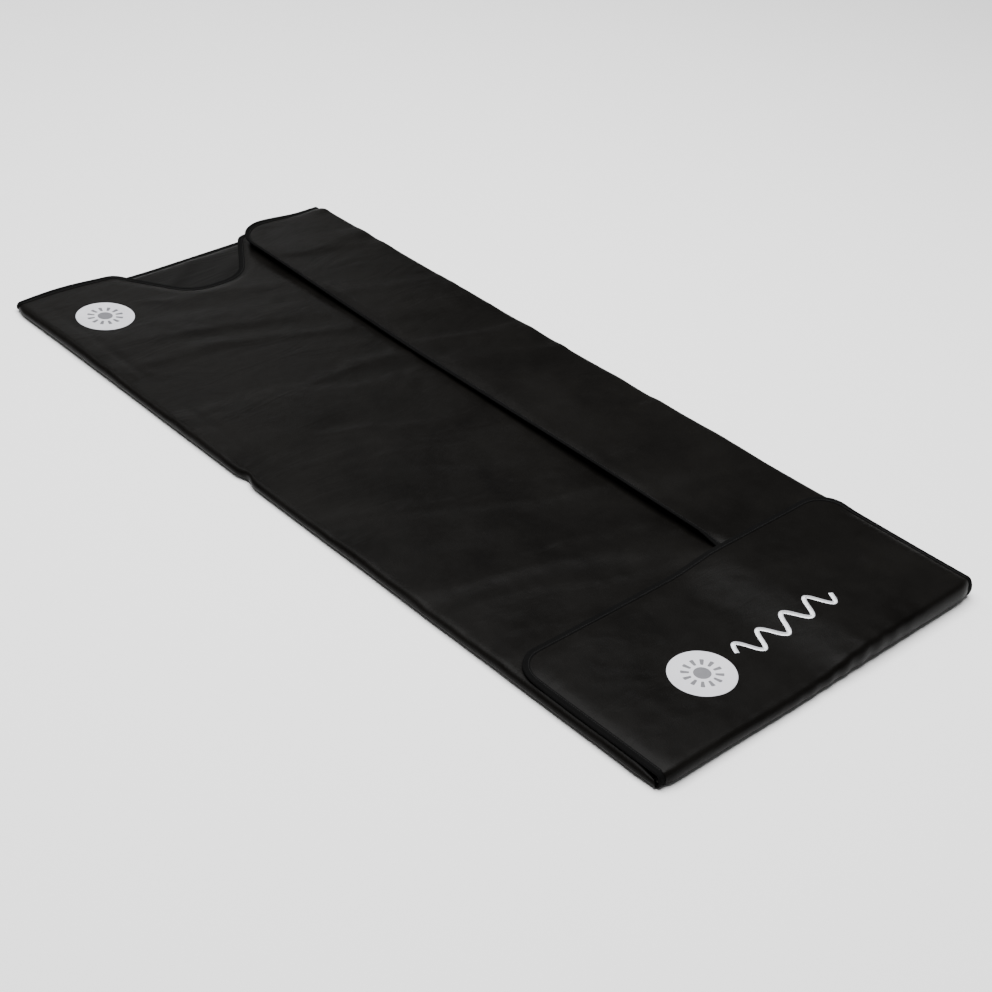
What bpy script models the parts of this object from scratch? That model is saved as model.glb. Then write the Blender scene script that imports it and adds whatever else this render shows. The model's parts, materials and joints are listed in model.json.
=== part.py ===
"""An infrared sauna blanket, folded shut on the floor.

A padded base mat carries three padded flaps. The left flap folds over from the left side and has
the neck opening at its head end, the right flap folds over it, and the foot flap folds up over
both. Metres, +Z up, +Y towards the head, origin under the middle of the mat.
"""
import math

import bmesh
import bpy

MM = 0.001

# Overall size of the folded blanket
LENGTH = 1800 * MM
WIDTH = 766 * MM

# Gap between two pieces that touch, and between two stacked panels with hook and loop tape between
CLEAR = 0.3 * MM
FLAP_GAP = 1.8 * MM

# Layers of the base mat and of the flaps
BASE_COVER = 2.0 * MM
BASE_INSULATION = 3.8 * MM
BASE_LINER = 1.2 * MM
FLAP_COVER = 1.6 * MM
FLAP_INSULATION = 4.0 * MM
FOOT_INSULATION = 3.6 * MM
FLAP_LINER = 1.0 * MM
CARRIER = 0.5 * MM
WIRE = 1.8 * MM

# Folds: the hinge line lies this far in from the outermost line of the fold
FOLD_INSET = 16 * MM
FOLD_SEGMENTS = 10
FOLD_LINER_BULGE = 8 * MM

# Flaps: how far each one reaches from its own fold line
RIGHT_REACH_HEAD = 229 * MM
RIGHT_REACH_FOOT = 261 * MM
FOOT_REACH = 324 * MM
OVERLAP = 140 * MM
MARGIN_SPLIT = 4 * MM
SIDE_END_GAP = 10 * MM
FOOT_SIDE_INSET = 7 * MM
RAMP = 70 * MM
RAMP_STEPS = 6

# Corner radii of the flaps
LEFT_CORNER = 26 * MM
RIGHT_HEAD_CORNER = 80 * MM
RIGHT_FOOT_CORNER = 30 * MM
FOOT_CORNER = 58 * MM
ARC_STEPS = 7
SHARP_ANGLE = math.radians(30)

# Neck opening in the head edge of the left flap
NECK_TOP = 312 * MM
NECK_BOTTOM = 116 * MM
NECK_DEPTH = 146 * MM
NECK_RIM_RADIUS = 32 * MM
NECK_RADIUS = 85 * MM

# Bound edges: a panel thins down over SLOPE to a rim of height RIM, which folded tape grips
BINDING_REACH = 12 * MM
BINDING_WALL = 1.0 * MM
RIM = 5 * MM
SLOPE = 30 * MM
PAD_INSET = 7 * MM
SMALLEST_RADIUS = 2 * MM

# Heating wire
WIRE_PITCH = 48 * MM
WIRE_MARGIN = 34 * MM
WIRE_RETURN = 17 * MM
WIRE_HEAD_MARGIN = 100 * MM
WIRE_BEND = 8 * MM
TURN_STEPS = 6
BEND_STEPS = 4

# Leads from the inlet to the wires and the sensor
LEAD_BEND = 4 * MM
LEAD_INSET = 4 * MM
LEAD_STAGGER = 8 * MM
LEAD_BEHIND_INLET = 6 * MM
SENSOR_LEAD_INSET = 12 * MM
FLAP_LEAD_BEND = 6 * MM
LEAD_FOLD_STEPS = 8

# Hook and loop tape
TAPE_WIDTH = 25 * MM
TAPE_THICKNESS = 0.6 * MM
TAPE_GAP = 0.2 * MM
TAPE_EDGE = 18 * MM
TAPE_NECK_MARGIN = 20 * MM
TAPE_CORNER_MARGIN = 70 * MM

# Badges and embroidered ornament
BADGE_RADIUS = 56 * MM
BADGE_THICKNESS = 0.8 * MM
BADGE_SEGMENTS = 40
HEAD_BADGE_FROM_FOLD = 99 * MM
HEAD_BADGE_FROM_HEAD = 130 * MM
FOOT_MARK_FROM_FOOT = 128 * MM
FOOT_BADGE_FROM_FOLD = 209 * MM
WAVE_FROM_FOLD = 291 * MM
WAVE_LENGTH = 224 * MM
WAVE_AMPLITUDE = 21 * MM
WAVE_PERIODS = 4
WAVE_RIBBON = 8 * MM
WAVE_STEPS = 56
THREAD = 0.8 * MM

# Power inlet, moulded into the head edge of the base beside the right fold
INLET_WIDTH = 56 * MM
INLET_DEPTH = 46 * MM
INLET_FROM_FOLD = 28 * MM
INLET_WALL = 2.5 * MM
SOCKET_DEPTH = 16 * MM
BEZEL = 1.5 * MM
BEZEL_LIP = 2.5 * MM
PIN_RADIUS = 1.3 * MM
PIN_LENGTH = 10 * MM
PIN_PITCH = 13 * MM

# Thermal cut-outs in pockets of the base insulation, and a flat sensor midway between two runs
# of the base's heating wire, SENSOR_RUN wire pitches from the first run
CUTOUT_SIZE = (8 * MM, 20 * MM)
CUTOUT_THICKNESS = 2.0 * MM
UPPER_CUTOUT = (-120 * MM, 225 * MM)
LOWER_CUTOUT = (120 * MM, -450 * MM)
SENSOR_SIZE = (5 * MM, 9 * MM)
SENSOR_RUN = 6.5
SENSOR_FROM_HEAD = 450 * MM

# Derived lines
HEAD = LENGTH / 2
FOLD_X = WIDTH / 2 - FOLD_INSET
FOLD_Y = -(LENGTH / 2 - FOLD_INSET)
FOOT_EDGE = FOLD_Y + FOOT_REACH
SPLIT_Y = FOOT_EDGE + MARGIN_SPLIT
SIDE_FOOT_END = FOLD_Y + SIDE_END_GAP
RIGHT_EDGE_HEAD = FOLD_X - RIGHT_REACH_HEAD
RIGHT_EDGE_FOOT = FOLD_X - RIGHT_REACH_FOOT
LEFT_EDGE = RIGHT_EDGE_HEAD + OVERLAP
FAR = 2 * (LENGTH + WIDTH)


def stack(bottom, *thicknesses):
    """Bottom and top of each layer of a panel, laid on one another with a clearance between."""
    levels = []
    for thickness in thicknesses:
        levels.append((bottom, bottom + thickness))
        bottom += thickness + CLEAR
    return levels


BASE_LEVELS = stack(0, BASE_COVER, BASE_INSULATION, CARRIER, WIRE, BASE_LINER)
BASE_TOP = BASE_LEVELS[-1][1]
LEFT_LEVELS = stack(BASE_TOP + FLAP_GAP, FLAP_LINER, WIRE, CARRIER, FLAP_INSULATION, FLAP_COVER)
LEFT_BOTTOM, LEFT_TOP = LEFT_LEVELS[0][0], LEFT_LEVELS[-1][1]
PLAIN_INSULATION = WIRE + CARRIER + FLAP_INSULATION + 2 * CLEAR
RIGHT_LEVELS = stack(LEFT_TOP + FLAP_GAP, FLAP_LINER, PLAIN_INSULATION, FLAP_COVER)
RIGHT_BOTTOM, RIGHT_TOP = RIGHT_LEVELS[0][0], RIGHT_LEVELS[-1][1]
FOOT_LEVELS = stack(RIGHT_TOP + FLAP_GAP, FLAP_LINER, FOOT_INSULATION, FLAP_COVER)
FOOT_BOTTOM, FOOT_TOP = FOOT_LEVELS[0][0], FOOT_LEVELS[-1][1]
FOOT_DROP = RIGHT_TOP - LEFT_TOP
RAMP_TOP = RIGHT_EDGE_FOOT - MARGIN_SPLIT
RAMP_BOTTOM = RAMP_TOP - RAMP
RAMP_STATIONS = [RAMP_BOTTOM + RAMP * i / RAMP_STEPS for i in range(RAMP_STEPS + 1)]


# ---------------------------------------------------------------- materials and small helpers

def clear_scene():
    for ob in list(bpy.data.objects):
        bpy.data.objects.remove(ob, do_unlink=True)


def material(name, colour, roughness, metallic=0.0):
    mat = bpy.data.materials.new(name)
    mat.use_nodes = True
    shader = mat.node_tree.nodes["Principled BSDF"]
    shader.inputs["Base Color"].default_value = (*colour, 1)
    shader.inputs["Roughness"].default_value = roughness
    shader.inputs["Metallic"].default_value = metallic
    return mat


def add_mesh(name, bm, mat, parent):
    bmesh.ops.recalc_face_normals(bm, faces=bm.faces)
    mesh = bpy.data.meshes.new(name)
    bm.to_mesh(mesh)
    bm.free()
    mesh.shade_smooth()
    mesh.set_sharp_from_angle(angle=SHARP_ANGLE)
    mesh.materials.append(mat)
    ob = bpy.data.objects.new(name, mesh)
    bpy.context.collection.objects.link(ob)
    attach(ob, parent)
    return ob


def attach(ob, parent):
    """Parent an object to the empty of its body, keeping it where it was modelled."""
    if parent:
        ob.parent = parent
        ob.matrix_parent_inverse = parent.matrix_world.inverted()


def pivot(name, location):
    """The empty of a body, on its fold line."""
    empty = bpy.data.objects.new(name, None)
    empty.location = location
    bpy.context.collection.objects.link(empty)
    bpy.context.view_layer.update()
    return empty


def foot_drop(x):
    """How much lower the foot flap lies at x than over the right flap: a smooth step down."""
    t = min(max((RAMP_TOP - x) / RAMP, 0), 1)
    return FOOT_DROP * t * t * (3 - 2 * t)


def right_edge(y):
    """The right flap's free edge, which runs slightly aslant."""
    t = (y - SIDE_FOOT_END) / (HEAD - SIDE_FOOT_END)
    return RIGHT_EDGE_FOOT + (RIGHT_EDGE_HEAD - RIGHT_EDGE_FOOT) * t


def offset_line(a, b, depth):
    """The edge from a to b moved to its left by depth, as a point and a direction."""
    dx, dy = b[0] - a[0], b[1] - a[1]
    size = math.hypot(dx, dy)
    dx, dy = dx / size, dy / size
    return (a[0] - dy * depth, a[1] + dx * depth), (dx, dy)


def crossing(line_a, line_b):
    (ax, ay), (adx, ady) = line_a
    (bx, by), (bdx, bdy) = line_b
    cross = adx * bdy - ady * bdx
    t = ((bx - ax) * bdy - (by - ay) * bdx) / cross
    return ax + adx * t, ay + ady * t


def outline(corners, free, inset=0.0):
    """Plan outline, anticlockwise, of corners (x, y, radius): free edges move in, corners round off.

    free[i] says whether the edge after corner i is a free edge. A fold edge stays where it is.
    """
    count = len(corners)
    lines = [offset_line(corners[i], corners[(i + 1) % count], inset if free[i] else 0)
             for i in range(count)]
    points = []
    for i, (_, _, radius) in enumerate(corners):
        before, after = lines[i - 1], lines[i]
        x, y = crossing(before, after)
        if radius == 0:
            points.append((x, y))
            continue
        turn = turning(before[1], after[1])
        radius = max(radius - math.copysign(inset, turn), SMALLEST_RADIUS)
        points += rounded(x, y, before[1], turn, radius)
    return points


def rounded(x, y, direction, turn, radius, steps=ARC_STEPS):
    """An arc that starts along direction and turns by turn, in place of the sharp corner x, y."""
    cut = radius * abs(math.tan(turn / 2))
    start = (x - direction[0] * cut, y - direction[1] * cut)
    side = math.copysign(1, turn)
    centre = (start[0] - direction[1] * radius * side, start[1] + direction[0] * radius * side)
    angle = math.atan2(start[1] - centre[1], start[0] - centre[0])
    return [(centre[0] + radius * math.cos(angle + turn * k / steps),
             centre[1] + radius * math.sin(angle + turn * k / steps))
            for k in range(steps + 1)]


def turning(before, after):
    """Angle from one direction to the next, positive to the left."""
    return math.atan2(before[0] * after[1] - before[1] * after[0],
                      before[0] * after[0] + before[1] * after[1])


def slab(name, points, level, mat, parent, stepped=False):
    """A flat layer of a plan outline between two heights."""
    return loft(name, [at_height(points, z) for z in level], mat, parent, stepped)


def at_height(points, z):
    return [(x, y, z) for x, y in points]


def loft(name, sections, mat, parent, stepped=False, open_edge=None):
    """A closed body through equal rings of points, with a cap on each end.

    stepped bodies follow the foot flap's step. open_edge is the place of a fold edge in the
    rings: there the body ends in one flat strip.
    """
    bm = bmesh.new()
    rings = [[bm.verts.new(p) for p in section] for section in sections]
    count = len(rings[0])
    for near, far in zip(rings, rings[1:]):
        for i in range(count):
            j = (i + 1) % count
            if i != open_edge:
                bm.faces.new((near[i], near[j], far[j], far[i]))
    if open_edge is not None:
        following = (open_edge + 1) % count
        bm.faces.new([ring[open_edge] for ring in rings]
                     + [ring[following] for ring in reversed(rings)])
    bm.faces.new(rings[0])
    bm.faces.new(rings[-1])
    if stepped:
        step_down(bm)
    return add_mesh(name, bm, mat, parent)


def step_down(bm):
    """Cut a body at the stations of the foot flap's step, and lower it there."""
    for x in RAMP_STATIONS:
        bmesh.ops.bisect_plane(bm, geom=bm.verts[:] + bm.edges[:] + bm.faces[:],
                               plane_co=(x, 0, 0), plane_no=(1, 0, 0))
    for v in bm.verts:
        v.co.z -= foot_drop(v.co.x)


def rectangle(x_low, x_high, y_low, y_high):
    return [(x_low, y_low), (x_high, y_low), (x_high, y_high), (x_low, y_high)]


def cutter(name, points, level):
    ob = slab(name, points, level, MATS["guide"], None)
    ob.hide_render = True
    ob.display_type = "WIRE"
    return ob


def cut(ob, tool, operation="DIFFERENCE"):
    mod = ob.modifiers.new(tool.name, "BOOLEAN")
    mod.operation = operation
    mod.object = tool


def tube(name, points, radius, mat, parent, sides=1):
    """A wire along points, with filled ends."""
    curve = bpy.data.curves.new(name, "CURVE")
    curve.dimensions = "3D"
    curve.bevel_depth = radius
    curve.bevel_resolution = sides
    curve.use_fill_caps = True
    spline = curve.splines.new("POLY")
    spline.points.add(len(points) - 1)
    for point, co in zip(spline.points, points):
        point.co = (*co, 1)
    curve.materials.append(mat)
    ob = bpy.data.objects.new(name, curve)
    bpy.context.collection.objects.link(ob)
    attach(ob, parent)
    return ob


def bend(points, radius):
    """The route through points in a plane, with its inner corners rounded."""
    route = [points[0]]
    for before, here, after in zip(points, points[1:], points[2:]):
        _, into = offset_line(before, here, 0)
        _, out = offset_line(here, after, 0)
        route += rounded(*here, into, turning(into, out), radius, BEND_STEPS)
    return route + [points[-1]]


def at_middle(points, level):
    """A route in plan, laid midway up a layer."""
    return at_height(points, middle(level))


def middle(level):
    return (level[0] + level[1]) / 2


# ---------------------------------------------------------------- outlines of the four panels

def left_corners():
    """The left flap: fold edge on the left, neck opening in its head edge."""
    rim, floor = NECK_TOP / 2, NECK_BOTTOM / 2
    corners = [
        (-FOLD_X, SIDE_FOOT_END, 0), (LEFT_EDGE, SIDE_FOOT_END, LEFT_CORNER),
        (LEFT_EDGE, HEAD, LEFT_CORNER), (rim, HEAD, NECK_RIM_RADIUS),
        (floor, HEAD - NECK_DEPTH, NECK_RADIUS), (-floor, HEAD - NECK_DEPTH, NECK_RADIUS),
        (-rim, HEAD, NECK_RIM_RADIUS), (-FOLD_X, HEAD, 0),
    ]
    return corners, [True] * 7 + [False]


def right_corners():
    """The right flap: fold edge on the right, a large rounded corner at its head end."""
    corners = [
        (RIGHT_EDGE_FOOT, SIDE_FOOT_END, RIGHT_FOOT_CORNER), (FOLD_X, SIDE_FOOT_END, 0),
        (FOLD_X, HEAD, 0), (RIGHT_EDGE_HEAD, HEAD, RIGHT_HEAD_CORNER),
    ]
    return corners, [True, False, True, True]


def foot_corners():
    """The foot flap: fold edge at the foot, two rounded corners towards the head."""
    half = WIDTH / 2 - FOOT_SIDE_INSET
    corners = [(-half, FOLD_Y, 0), (half, FOLD_Y, 0),
               (half, FOOT_EDGE, FOOT_CORNER), (-half, FOOT_EDGE, FOOT_CORNER)]
    return corners, [False, True, True, True]


def base_corners():
    """The base mat: a rectangle whose only free edge is at the head."""
    corners = [(-FOLD_X, FOLD_Y, 0), (FOLD_X, FOLD_Y, 0), (FOLD_X, HEAD, 0), (-FOLD_X, HEAD, 0)]
    return corners, [False, False, True, False]


def pulled(corners_and_free, gap):
    """The same panel with its fold edges moved in by gap, to clear the fold strip."""
    corners, free = corners_and_free
    count = len(corners)
    lines = [offset_line(corners[i], corners[(i + 1) % count], 0 if free[i] else gap)
             for i in range(count)]
    moved = []
    for i in range(count):
        x, y = crossing(lines[i - 1], lines[i])
        moved.append((x, y, corners[i][2]))
    return moved, free


def panel_outline(panel, inset):
    return outline(*pulled(panel(), CLEAR), inset)


COVER_INSET = BINDING_REACH + CLEAR
INNER_INSET = COVER_INSET + PAD_INSET
FULL_INSET = COVER_INSET + SLOPE


def left_main_region(gap):
    """Plan of the part of the left flap that no other flap covers, grown by gap."""
    x_foot = right_edge(SPLIT_Y) - MARGIN_SPLIT + gap
    x_head = right_edge(HEAD + MARGIN_SPLIT) - MARGIN_SPLIT + gap
    y_low, y_high = SPLIT_Y - gap, HEAD + MARGIN_SPLIT
    return [(-FAR, y_low), (x_foot, y_low), (x_head, y_high), (-FAR, y_high)]


def right_main_region(gap):
    """Plan of the part of the right flap that the foot flap doesn't cover, grown by gap."""
    return [(-FAR, SPLIT_Y - gap), (FAR, SPLIT_Y - gap), (FAR, FAR), (-FAR, FAR)]


# ---------------------------------------------------------------- shared shapes

def sloped_cover(name, panel, bottom, level, mat, parent, stepped=False):
    """A panel's outer cover: flat in the middle, running down to the bound rim on every free edge."""
    low, high = level
    rim, full = panel_outline(panel, COVER_INSET), panel_outline(panel, FULL_INSET)
    rings = [at_height(full, high), at_height(rim, bottom + RIM),
             at_height(rim, bottom + RIM - (high - low)), at_height(full, low)]
    return loft(name, rings, mat, parent, stepped, open_edge=fold_place(panel))


def fold_place(panel):
    """Place, in a flap's outline, of the point that its fold edge starts from."""
    corners, free = panel()
    counts = [ARC_STEPS + 1 if radius > 0 else 1 for _, _, radius in corners]
    return sum(counts[:free.index(False) + 1]) - 1


def padding(name, panel, level, mat, parent, stepped=False):
    """A panel's insulation, bevelled so that it stays under the slope of the cover."""
    low, high = level
    rings = [at_height(panel_outline(panel, INNER_INSET), low),
             at_height(panel_outline(panel, FULL_INSET), high)]
    return loft(name, rings, mat, parent, stepped)


def margin(name, panel, level, mat, parent):
    """The whole thickness of a panel as one padded body, with its sloping rim."""
    low, high = level
    rim, full = panel_outline(panel, COVER_INSET), panel_outline(panel, FULL_INSET)
    rings = [at_height(rim, low), at_height(rim, low + RIM), at_height(full, high)]
    return loft(name, rings, mat, parent)


def binding(name, panel, bottom, mat, parent, stepped=False):
    """Folded tape around a panel's free edges: a U section as high as the rim."""
    corners, free = pulled(panel(), CLEAR)
    runs = [free_run(outline(corners, free, inset), corners, free)
            for inset in (0, BINDING_WALL, BINDING_REACH)]
    low, high = bottom, bottom + RIM
    sections = []
    for (ax, ay), (bx, by), (cx, cy) in zip(*runs):
        sections.append([(ax, ay, low), (cx, cy, low), (cx, cy, low + BINDING_WALL),
                         (bx, by, low + BINDING_WALL), (bx, by, high - BINDING_WALL),
                         (cx, cy, high - BINDING_WALL), (cx, cy, high), (ax, ay, high)])
    return loft(name, sections, mat, parent, stepped)


def free_run(ring, corners, free):
    """The stretch of an outline along the free edges, from one end of the fold edges to the other."""
    counts = [ARC_STEPS + 1 if radius > 0 else 1 for _, _, radius in corners]
    starts = [sum(counts[:i]) for i in range(len(counts))]
    first = next(i for i in range(len(free)) if free[i] and not free[i - 1])
    steps = 0
    while free[(first + steps) % len(free)]:
        steps += 1
    begin = starts[first]
    total = sum(counts[(first + k) % len(counts)] for k in range(steps + 1))
    return [ring[(begin + k) % len(ring)] for k in range(total)]


def half_ring(reach, low, high, thickness):
    """Section of a fold: (outward, height) points of an open half ring, closed at both ends."""
    centre, half = (low + high) / 2, (high - low) / 2
    angles = [-math.pi / 2 + math.pi * i / FOLD_SEGMENTS for i in range(FOLD_SEGMENTS + 1)]
    outer = [(reach * math.cos(a), centre + half * math.sin(a)) for a in angles]
    inner = [((reach - thickness) * math.cos(a), centre + (half - thickness) * math.sin(a))
             for a in reversed(angles)]
    return outer + inner


def side_fold(name, side, y_range, heights, reach, thickness, mat, parent):
    """A strip bent around the left (-1) or right (+1) side, from the base up to the flap."""
    section = half_ring(reach, *heights, thickness)
    rings = [[(side * (FOLD_X + out), y, z) for out, z in section] for y in y_range]
    return loft(name, rings, mat, parent)


def foot_fold(name, x_range, heights, reach, thickness, mat, parent):
    """A strip bent around the foot, whose upper edge follows the step of the foot flap."""
    xs = [x_range[0], *RAMP_STATIONS, x_range[1]]
    rings = []
    for x in xs:
        low, high = heights
        section = half_ring(reach, low, high - foot_drop(x), thickness)
        rings.append([(x, FOLD_Y - out, z) for out, z in section])
    return loft(name, rings, mat, parent)


def serpentine(side, first_x, count, tops, bottom, end_top):
    """Route of a heating wire: runs joined by round turns, then back round the outside.

    The runs start beside the fold on the given side and step away from it.
    """
    radius = WIRE_PITCH / 2
    xs = [first_x - side * WIRE_PITCH * i for i in range(count)]
    points = [(xs[0], end_top)]
    for i in range(count - 1):
        at_foot = i % 2 == 0
        y = bottom if at_foot else min(tops(xs[i]), tops(xs[i + 1]))
        centre_x = (xs[i] + xs[i + 1]) / 2
        for k in range(TURN_STEPS + 1):
            angle = math.pi * k / TURN_STEPS
            across = radius * math.cos(angle) * side
            along = radius * math.sin(angle) * (-1 if at_foot else 1)
            points.append((centre_x + across, y + along))
    low = bottom - radius - WIRE_RETURN
    back_x = xs[0] + side * WIRE_RETURN
    tail = bend([(xs[-1], bottom), (xs[-1], low), (back_x, low), (back_x, end_top)],
                WIRE_BEND)
    return points + tail


# ---------------------------------------------------------------- the base mat

def build_base(body):
    cover, insulation, carrier, wire, liner = BASE_LEVELS
    slab("base_outer_cover", panel_outline(base_corners, COVER_INSET), cover, MATS["cover"], body)
    rim, full = HEAD - COVER_INSET, HEAD - FULL_INSET
    low, high = liner
    sloped = [(FOLD_Y + CLEAR, low), (full, low), (rim, RIM - (high - low)), (rim, RIM),
              (full, high), (FOLD_Y + CLEAR, high)]
    low, high = insulation
    bevelled = [(FOLD_Y + CLEAR, low), (HEAD - INNER_INSET, low), (full, high),
                (FOLD_Y + CLEAR, high)]
    pieces = [
        across("base_insulation", bevelled, MATS["felt"], body),
        slab("base_heater_carrier", panel_outline(base_corners, FULL_INSET), carrier,
             MATS["foil"], body),
        across("base_liner", sloped, MATS["liner"], body),
    ]
    notch = inlet_notch()
    for piece in pieces:
        cut(piece, notch)
    build_devices(pieces[0], insulation, body)
    ends = (inlet_span()[0] - BEZEL_LIP - CLEAR, inlet_span()[1] + BEZEL_LIP + CLEAR)
    for name, first, last in (("base_head_binding_left", -FOLD_X + CLEAR, ends[0]),
                              ("base_head_binding_right", ends[1], FOLD_X - CLEAR)):
        head_binding(name, first, last, body)
    count = int((2 * (FOLD_X - WIRE_MARGIN)) / WIRE_PITCH) // 2 * 2 + 1
    route = serpentine(1, FOLD_X - WIRE_MARGIN, count, lambda x: HEAD - WIRE_HEAD_MARGIN,
                       FOLD_Y + WIRE_MARGIN + WIRE_PITCH, HEAD - WIRE_HEAD_MARGIN)
    tube("base_heating_wire", at_middle(route, wire), WIRE / 2, MATS["wire"], body)


def across(name, section, mat, body):
    """A body with one section of (y, height) points, as wide as the base between its folds."""
    end = FOLD_X - CLEAR
    return loft(name, [[(x, y, z) for y, z in section] for x in (-end, end)], mat, body)


def head_binding(name, x_low, x_high, body):
    """Folded tape over the straight head edge of the base."""
    inner, wall = HEAD - BINDING_REACH, HEAD - BINDING_WALL
    section = [(HEAD, 0), (inner, 0), (inner, BINDING_WALL), (wall, BINDING_WALL),
               (wall, RIM - BINDING_WALL), (inner, RIM - BINDING_WALL), (inner, RIM), (HEAD, RIM)]
    loft(name, [[(x, y, z) for y, z in section] for x in (x_low, x_high)], MATS["binding"], body)


def build_devices(insulation, level, body):
    """Two thermal cut-outs, each in a pocket of the insulation under the heating wire."""
    low, high = level
    half_w, half_l = CUTOUT_SIZE[0] / 2, CUTOUT_SIZE[1] / 2
    reach_w, reach_l = half_w + CLEAR, half_l + CLEAR
    for name, (x, y) in (("thermal_cutout_upper", UPPER_CUTOUT),
                         ("thermal_cutout_lower", LOWER_CUTOUT)):
        slab(name, rectangle(x - half_w, x + half_w, y - half_l, y + half_l),
             (low, low + CUTOUT_THICKNESS), MATS["metal"], body)
        pocket = rectangle(x - reach_w, x + reach_w, y - reach_l, y + reach_l)
        cut(insulation, cutter(name + "_pocket", pocket, (low - MM, high + MM)))


# ---------------------------------------------------------------- power inlet and leads

def inlet_span():
    """Left and right side of the inlet housing."""
    right = FOLD_X - INLET_FROM_FOLD
    return right - INLET_WIDTH, right


def inlet_notch():
    """The space cut from the base's inner layers for the housing and the wider bezel before it."""
    left, right = inlet_span()
    back, step = HEAD - BEZEL - INLET_DEPTH - CLEAR, HEAD - BEZEL - CLEAR
    near, wide = CLEAR, BEZEL_LIP + CLEAR
    return cutter("inlet_notch", [(left - near, back), (right + near, back), (right + near, step),
                                  (right + wide, step), (right + wide, FAR), (left - wide, FAR),
                                  (left - wide, step), (left - near, step)],
                  (BASE_COVER + CLEAR / 2, BASE_TOP + MM))


def build_inlet(body):
    left, right = inlet_span()
    front = HEAD - BEZEL - CLEAR
    back = front - INLET_DEPTH + CLEAR
    low, high = BASE_COVER + CLEAR, RIGHT_BOTTOM - MM
    mouth = cutter("inlet_socket_mouth",
                   rectangle(left + INLET_WALL, right - INLET_WALL, front - SOCKET_DEPTH, HEAD + MM),
                   (low + INLET_WALL, high - INLET_WALL))
    housing = slab("inlet_housing", rectangle(left, right, back, front), (low, high),
                   MATS["plastic"], body)
    bezel = slab("inlet_bezel", rectangle(left - BEZEL_LIP, right + BEZEL_LIP, HEAD - BEZEL, HEAD),
                 (CLEAR, high), MATS["plastic"], body)
    cut(housing, mouth)
    cut(bezel, mouth)
    floor = front - SOCKET_DEPTH + CLEAR
    centre_x, centre_z = (left + right) / 2, (low + high) / 2
    for name, step in (("inlet_pin_left", -1), ("inlet_pin_centre", 0), ("inlet_pin_right", 1)):
        x = centre_x + step * PIN_PITCH
        tube(name, [(x, floor, centre_z), (x, floor + PIN_LENGTH, centre_z)], PIN_RADIUS,
             MATS["brass"], body, sides=2)


def build_leads(root, left_body):
    """Leads inside the base, from the inlet to the heating wires and the sensor."""
    left, right = inlet_span()
    back = HEAD - BEZEL - INLET_DEPTH - 2 * CLEAR
    layer = BASE_LEVELS[3]
    wire_top = HEAD - WIRE_HEAD_MARGIN
    first = FOLD_X - WIRE_MARGIN
    inner = right - LEAD_INSET
    y_bend = (wire_top + back) / 2
    for name, x_wire, x_inlet, y_turn in (
            ("base_lead_feed", first, inner - WIRE_RETURN, y_bend + LEAD_STAGGER),
            ("base_lead_return", first + WIRE_RETURN, inner, y_bend)):
        route = bend([(x_wire, wire_top + CLEAR), (x_wire, y_turn), (x_inlet, y_turn),
                      (x_inlet, back)], LEAD_BEND)
        tube(name, at_middle(route, layer), WIRE / 2, MATS["lead"], root)
    lead_x, lead_y = left + LEAD_INSET, back - LEAD_BEHIND_INLET
    route = bend([(lead_x, back), (lead_x, lead_y), (-FOLD_X + CLEAR, lead_y)], LEAD_BEND)
    tube("base_cross_lead", at_middle(route, layer), WIRE / 2, MATS["lead"], root)
    fold_lead(lead_y, middle(layer), left_body)
    sensor_x, sensor_y = first - WIRE_PITCH * SENSOR_RUN, HEAD - SENSOR_FROM_HEAD
    half_w, half_l = SENSOR_SIZE[0] / 2, SENSOR_SIZE[1] / 2
    plan = rectangle(sensor_x - half_w, sensor_x + half_w, sensor_y - half_l, sensor_y + half_l)
    slab("temperature_sensor", plan, layer, MATS["plastic"], root)
    low = wire_top + WIRE_PITCH / 2 + LEAD_BEND
    lead_x = left + SENSOR_LEAD_INSET
    route = bend([(sensor_x, sensor_y + half_l + CLEAR), (sensor_x, low), (lead_x, low),
                  (lead_x, back)], LEAD_BEND)
    tube("sensor_lead", at_middle(route, layer), WIRE / 2, MATS["lead"], root)


def fold_lead(y, z_base, left_body):
    """The left flap's supply: round the inside of the left fold and on to its heating wire."""
    z_flap = middle(LEFT_LEVELS[1])
    centre, half = (z_base + z_flap) / 2, (z_flap - z_base) / 2
    reach = (FOLD_INSET - FLAP_COVER + FOLD_LINER_BULGE) / 2
    points = []
    for i in range(LEAD_FOLD_STEPS + 1):
        angle = -math.pi / 2 + math.pi * i / LEAD_FOLD_STEPS
        points.append((-FOLD_X - reach * math.cos(angle), y, centre + half * math.sin(angle)))
    x_wire = -(FOLD_X - WIRE_MARGIN)
    route = bend([(-FOLD_X, y), (x_wire, y), (x_wire, HEAD - WIRE_HEAD_MARGIN + CLEAR)],
                 FLAP_LEAD_BEND)
    points += at_height(route[1:], z_flap)
    tube("left_flap_lead", points, WIRE / 2, MATS["lead"], left_body)


# ---------------------------------------------------------------- the flaps

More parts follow.
